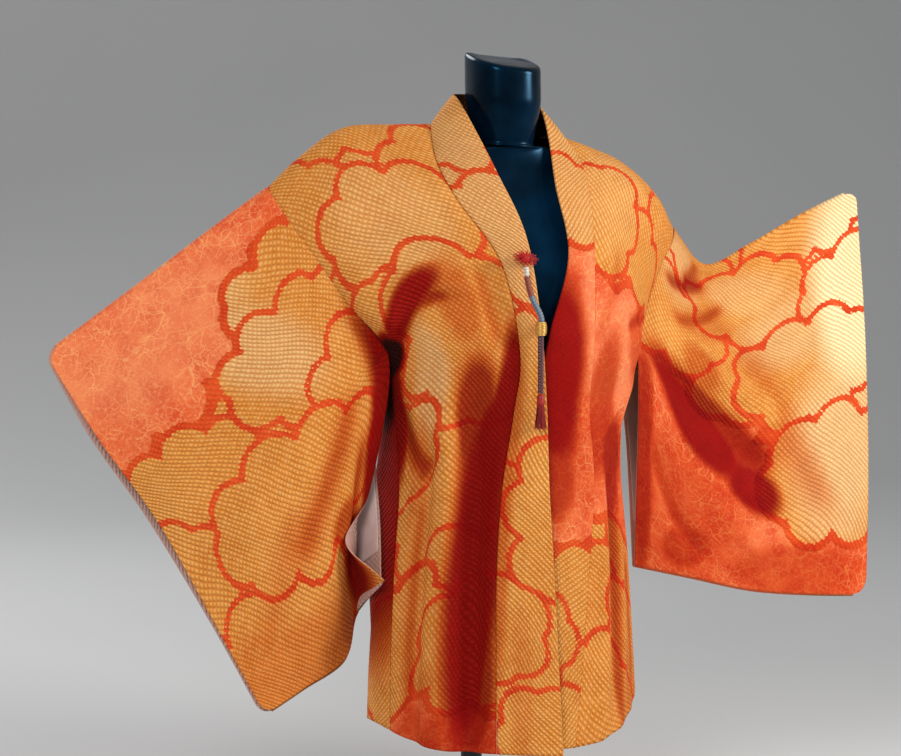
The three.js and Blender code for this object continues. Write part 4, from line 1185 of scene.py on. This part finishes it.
def dyed_silk():
    """Crepe silk tied in dots over gold, with vermilion cloud lines, plain coral fields, painted shade and
    painted light.
    """
    made, t = new_material("dyed_dot_silk")
    where = cloth_place(t)
    dots = t.group(TIED_DOTS, {"Cloth place": where, "Pitch": DOT_PITCH, "Unevenness": DOT_UNEVENNESS})
    crepe = t.group(CREPE, {"Cloth place": where})
    height, valley, tone = dots["Height"], dots["Valley"], dots["Cell tone"]
    line, coral = t.attribute("line"), t.attribute("coral")
    deep, inside, pale = t.attribute("deep"), t.attribute("inside"), t.attribute("pale")
    big = t.noise(where, 7.0, 2.0)
    middle = t.noise(where, 38.0, 3.0)

    # The gold ground. Its grooves between the dots are darkened as painted shade.
    gold = t.mix(t.ramp(big, 0.35, 0.68), colour(218, 134, 52), colour(238, 160, 76))
    gold = t.mix(t.ramp(middle, 0.3, 0.75, 0.0, 0.45), gold, colour(208, 120, 42))
    gold = t.mix(t.ramp(tone, 0.2, 1.0, 0.0, 0.25), gold, colour(246, 184, 110))
    groove = t.mix(t.ramp(middle, 0.3, 0.7), colour(178, 92, 28), colour(150, 72, 16))
    ground = t.mix(t.times(valley, t.ramp(big, 0.3, 0.7, 0.3, 0.62)), gold, groove)
    # Painted highlight: the dot tops are lightened.
    ground = t.mix(t.ramp(height, 0.55, 1.0, 0.0, 0.6), ground, colour(250, 190, 108))
    # Painted light: the pale field lightens the gold further.
    ground = t.mix(t.times(pale, t.ramp(height, 0.0, 0.8, 0.45, 1.0)), ground, colour(252, 238, 186))

    # The vermilion edge lines, ragged by the dots.
    ragged = t.times(t.minus(height, 0.45), 0.0017)
    ragged = t.plus(ragged, t.times(t.minus(t.noise(where, 150.0, 2.0), 0.5), 0.005))
    line_mask = t.ramp(t.plus(line, ragged), 0.0007, -0.0007)
    red = t.mix(t.ramp(middle, 0.3, 0.7), colour(226, 84, 34), colour(208, 60, 22))
    # Painted highlight: the lines' dot tops are lightened.
    red = t.mix(t.ramp(height, 0.6, 1.0, 0.0, 0.4), red, colour(236, 112, 58))
    dyed = t.mix(line_mask, ground, red)

    # The plain coral fields.
    field = t.mix(t.ramp(big, 0.3, 0.7), colour(226, 86, 38), colour(238, 124, 74))
    field = t.mix(t.ramp(middle, 0.35, 0.72, 0.0, 0.75), field, colour(212, 64, 30))
    field = t.mix(t.ramp(crepe["Crinkle"], 0.5, 0.68, 0.0, 0.5), field, colour(246, 150, 104))
    # Painted light: the pale field lightens the coral.
    field = t.mix(t.times(pale, 0.6), field, colour(246, 156, 108))
    field = t.mix(t.times(pale_threads(t, where), 0.62), field, colour(250, 178, 112))
    coral_mask = t.ramp(t.plus(coral, t.times(ragged, 0.8)), 0.0008, -0.0008)
    coral_mask = t.times(coral_mask, t.minus(1.0, line_mask))
    dyed = t.mix(coral_mask, dyed, field)

    # Painted shade in three strengths, amber, deep red and near black, then the cloth's inner face.
    dyed = t.mix(t.ramp(deep, 0.0, 0.6), dyed, (0.80, 0.40, 0.22, 1.0), "MULTIPLY")
    dyed = t.mix(t.ramp(deep, 0.3, 1.0), dyed, (0.45, 0.02, 0.03, 1.0), "MULTIPLY")
    dyed = t.mix(t.ramp(deep, 1.0, 1.6, 0.0, 0.94), dyed, (0.0025, 0.0006, 0.0006, 1.0))
    # The inner face of the unlined pieces is painted near-black red as shade inside the garment; the sleeves
    # show their pale lining.
    backing = t.mix(t.attribute("lined"), colour(38, 13, 12), colour(206, 168, 158))
    dyed = t.mix(t.times(inside, 0.94), dyed, backing)

    relief = t.times(height, t.minus(1.0, t.times(coral_mask, 0.85)))
    relief = t.plus(relief, t.times(crepe["Crinkle"], 0.45))
    relief = t.plus(relief, t.times(crepe["Grain"], 0.1))
    t.surface({"Base Color": dyed, "Roughness": t.ramp(height, 0.0, 1.0, 0.74, 0.58),
               "Specular IOR Level": 0.09, "Sheen Weight": 0.02, "Sheen Roughness": 0.5,
               "Sheen Tint": colour(255, 205, 150)}, bump=(0.9, 0.0013, relief))
    return made


def lining_silk():
    made, t = new_material("lining_silk")
    where = cloth_place(t)
    crinkle = t.group(CREPE, {"Cloth place": where})["Crinkle"]
    t.surface({"Base Color": t.mottled(where, 20.0, colour(224, 196, 190), colour(206, 168, 160)),
               "Roughness": t.ramp(crinkle, 0.2, 0.8, 0.36, 0.5), "Sheen Weight": 0.2},
              bump=(0.25, 0.0004, crinkle))
    return made


def form_gloss():
    """Moulded black plastic with a polished skin, faint swirls and dust."""
    made, t = new_material("form_black_gloss")
    where = object_place(t)
    tone = t.mottled(where, 9.0, colour(2, 9, 18), colour(5, 40, 66), 3.0)
    dust = t.ramp(t.noise(where, 420.0, 2.0), 0.68, 0.82, 0.0, 0.12)
    t.surface({"Base Color": t.mix(dust, tone, colour(60, 84, 98)),
               "Roughness": t.wandering(where, 30.0, 0.17, 0.27, 4.0), "Specular IOR Level": 0.4,
               "Specular Tint": colour(70, 150, 200)}, bump=(0.08, 0.001, t.noise(where, 60.0, 3.0)))
    return made


def stand_steel():
    made, t = new_material("stand_satin_steel")
    stretched = t.node("ShaderNodeMapping", {"Vector": object_place(t), "Scale": (220.0, 220.0, 12.0)})
    brushed = t.noise(stretched.outputs[0], 4.0, 4.0)
    t.surface({"Base Color": t.mix(brushed, colour(38, 40, 44), colour(60, 62, 66)), "Metallic": 0.85,
               "Roughness": t.ramp(brushed, 0.3, 0.7, 0.3, 0.46)}, bump=(0.1, 0.0005, brushed))
    return made


# Sections of the tie's braid: from its top, in millimetres along, with the two thread colours.
BRAID_SECTIONS = [
    (0, (225, 218, 205), (190, 180, 165)), (10, (225, 218, 205), (190, 180, 165)),
    (12, (150, 70, 48), (120, 46, 34)), (34, (150, 70, 48), (120, 46, 34)),
    (36, (120, 135, 150), (84, 96, 116)), (70, (120, 135, 150), (84, 96, 116)),
    (72, (84, 30, 44), (46, 18, 38)), (160, (96, 18, 24), (60, 10, 18)),
]
BRAID_LENGTH = 160.0


def braid_silk():
    """Braided silk in coloured lengths, with pale picks along the maroon part."""
    made, t = new_material("tie_braid_silk")
    where = cloth_place(t)
    parts = t.node("ShaderNodeSeparateXYZ", {0: where}).outputs
    along = t.math("DIVIDE", parts[1], BRAID_LENGTH / 1000)
    ramps = []
    for pick in (1, 2):
        ramp = t.node("ShaderNodeValToRGB", {"Fac": along})
        points = ramp.color_ramp.elements
        while len(points) < len(BRAID_SECTIONS):
            points.new(0.5)
        for element, section in zip(points, BRAID_SECTIONS):
            element.position = section[0] / BRAID_LENGTH
            element.color = colour(*section[pick])
        ramps.append(ramp.outputs["Color"])
    turn = t.times(parts[0], 2 * math.pi * 2 / BRAID_ROUND)
    run = t.times(parts[1], BRAID_TWIST)
    over = t.times(t.math("SINE", t.plus(turn, run)), t.math("SINE", t.minus(turn, run)))
    tone = t.mix(t.ramp(over, -0.4, 0.4), ramps[0], ramps[1])
    pale = t.times(t.ramp(over, 0.72, 0.9), t.ramp(parts[1], 0.078, 0.08))
    tone = t.mix(t.times(pale, 0.55), tone, colour(206, 180, 176))
    t.surface({"Base Color": tone, "Roughness": t.wandering(where, 1500.0, 0.42, 0.6), "Sheen Weight": 0.15},
              bump=(0.5, 0.0004, t.math("ABSOLUTE", over)))
    return made


def thread_silk(name, dark, light, rough):
    made, t = new_material(name)
    where = object_place(t)
    t.surface({"Base Color": t.mottled(where, 650.0, dark, light, 3.0),
               "Roughness": t.wandering(where, 900.0, rough - 0.08, rough + 0.08), "Sheen Weight": 0.06},
              bump=(0.3, 0.0003, t.noise(where, 1600.0, 2.0)))
    return made


def gold_thread():
    made, t = new_material("tie_gold_thread")
    where = object_place(t)
    t.surface({"Base Color": t.mottled(where, 700.0, colour(206, 150, 66), colour(240, 200, 120), 3.0),
               "Metallic": 0.6, "Roughness": t.wandering(where, 1200.0, 0.28, 0.42)})
    return made


def finish_with(thing, material):
    thing.data.materials.clear()
    thing.data.materials.append(material)


# The camera stands at the photograph's place: turned 22 degrees to the wearer's right, 5 degrees up.
CAMERA_TURN = math.radians(-22.0)
CAMERA_RISE = math.radians(5.0)
CAMERA_PLACE = (-1.3544, -3.2836, 0.9063)
SENSOR_WIDTH = 36.0
FOCAL_PIXELS = 2916.67
PICTURE_WIDTH = 901


def set_camera():
    level = math.cos(CAMERA_RISE)
    forward = Vector((-math.sin(CAMERA_TURN) * level, math.cos(CAMERA_TURN) * level, -math.sin(CAMERA_RISE)))
    data = bpy.data.cameras.new("photo_camera")
    data.sensor_fit = "HORIZONTAL"
    data.sensor_width = SENSOR_WIDTH
    data.lens = SENSOR_WIDTH * FOCAL_PIXELS / PICTURE_WIDTH
    data.clip_end = 50.0
    camera = bpy.data.objects.new("photo_camera", data)
    camera.location = Vector(CAMERA_PLACE)
    camera.rotation_euler = forward.to_track_quat("-Z", "Y").to_euler()
    bpy.context.collection.objects.link(camera)
    bpy.context.scene.camera = camera


def area_light(name, place_at, aim, size, power, tint=(1.0, 1.0, 1.0)):
    data = bpy.data.lights.new(name, "AREA")
    data.shape = "DISK"
    data.size = size
    data.energy = power
    data.color = tint
    lamp = bpy.data.objects.new(name, data)
    lamp.location = Vector(place_at)
    lamp.rotation_euler = (Vector(aim) - Vector(place_at)).to_track_quat("-Z", "Y").to_euler()
    bpy.context.collection.objects.link(lamp)


# The studio floor, and where and how wide it bends up into its back wall.
FLOOR_HALF = 9.0
BEND_START = 3.2
BEND_RADIUS = 2.4
WALL_TOP = 7.0


def set_studio():
    paper, t = new_material("studio_paper")
    tone = t.mix(t.noise(object_place(t), 1.2), colour(206, 207, 208), colour(214, 214, 214))
    t.surface({"Base Color": tone, "Roughness": 0.8})
    bend = [(-FLOOR_HALF, 0.0), (BEND_START, 0.0)]
    for a in np.linspace(0.1, math.pi / 2, 20):
        bend.append((BEND_START + BEND_RADIUS * math.sin(a), BEND_RADIUS - BEND_RADIUS * math.cos(a)))
    bend.append((BEND_START + BEND_RADIUS, WALL_TOP))
    points = np.array([(x, y, z - 0.0005) for y, z in bend for x in (-FLOOR_HALF, FLOOR_HALF)])
    faces = [(2 * i, 2 * i + 1, 2 * i + 3, 2 * i + 2) for i in range(len(bend) - 1)]
    floor = mesh_object("studio_floor", points, faces)
    finish_with(floor, paper)
    area_light("key", (1.6, -1.4, 1.35), (0.25, 0, 0.62), 0.7, 34, (1.0, 0.98, 0.93))
    area_light("front", (-2.2, -3.2, 2.4), (-0.1, 0, 0.7), 1.3, 74, (1.0, 0.99, 0.97))
    area_light("back", (-1.2, 2.8, 2.6), (0, 0, 0.6), 2.0, 60)
    world = bpy.data.worlds.new("studio_air")
    world.use_nodes = True
    air = world.node_tree.nodes["Background"].inputs
    air["Color"].default_value = colour(226, 227, 229)
    air["Strength"].default_value = 0.36
    bpy.context.scene.world = world
    bpy.context.scene.view_settings.view_transform = "Standard"


# Making and finishing every piece.
set_camera()
set_studio()

silk = dyed_silk()
lining = lining_silk()
gloss = form_gloss()
steel = stand_steel()
tuft_silk = thread_silk("tie_tuft_silk", colour(176, 10, 12), colour(226, 38, 30), 0.6)
tassel_silk = thread_silk("tie_tassel_silk", colour(132, 6, 8), colour(182, 18, 16), 0.5)


def dress(piece, node, material):
    finish_with(piece, material)
    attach(piece, "root")
    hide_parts(node)
    return piece


body, sleeve, gusset, sleeve_lining = {}, {}, {}, {}
for name in ("right", "left"):
    body[name] = dress(make_body(name), "body_" + name, silk)
    sleeve[name] = dress(make_sleeve(name), "sleeve_" + name, silk)
    gusset[name] = dress(make_gusset(name), "gusset_" + name, silk)
    sleeve_lining[name] = dress(make_lining(name), "lining_" + name, lining)
band = dress(make_band(), "collar_band", silk)
torso = dress(make_form_torso(), "form_torso", gloss)
neck = dress(make_form_neck(), "form_neck", gloss)
plate, rod = make_stand()
dress(plate, "stand_base", steel)
dress(rod, "stand_pole", steel)
braid = dress(make_tie_cord(), "tie_cord", braid_silk())
knot = dress(make_tie_knot(), "tie_knot", gold_thread())
tassel = dress(make_tassel(), "tie_tassel", tassel_silk)
dress(make_tuft(), "tie_tuft", tuft_silk)

line = tie_line(40) - np.array([POLE[0], POLE[1], 0.0])
tuple(line[0])
[tuple(p) for p in line]

bpy.context.view_layer.update()
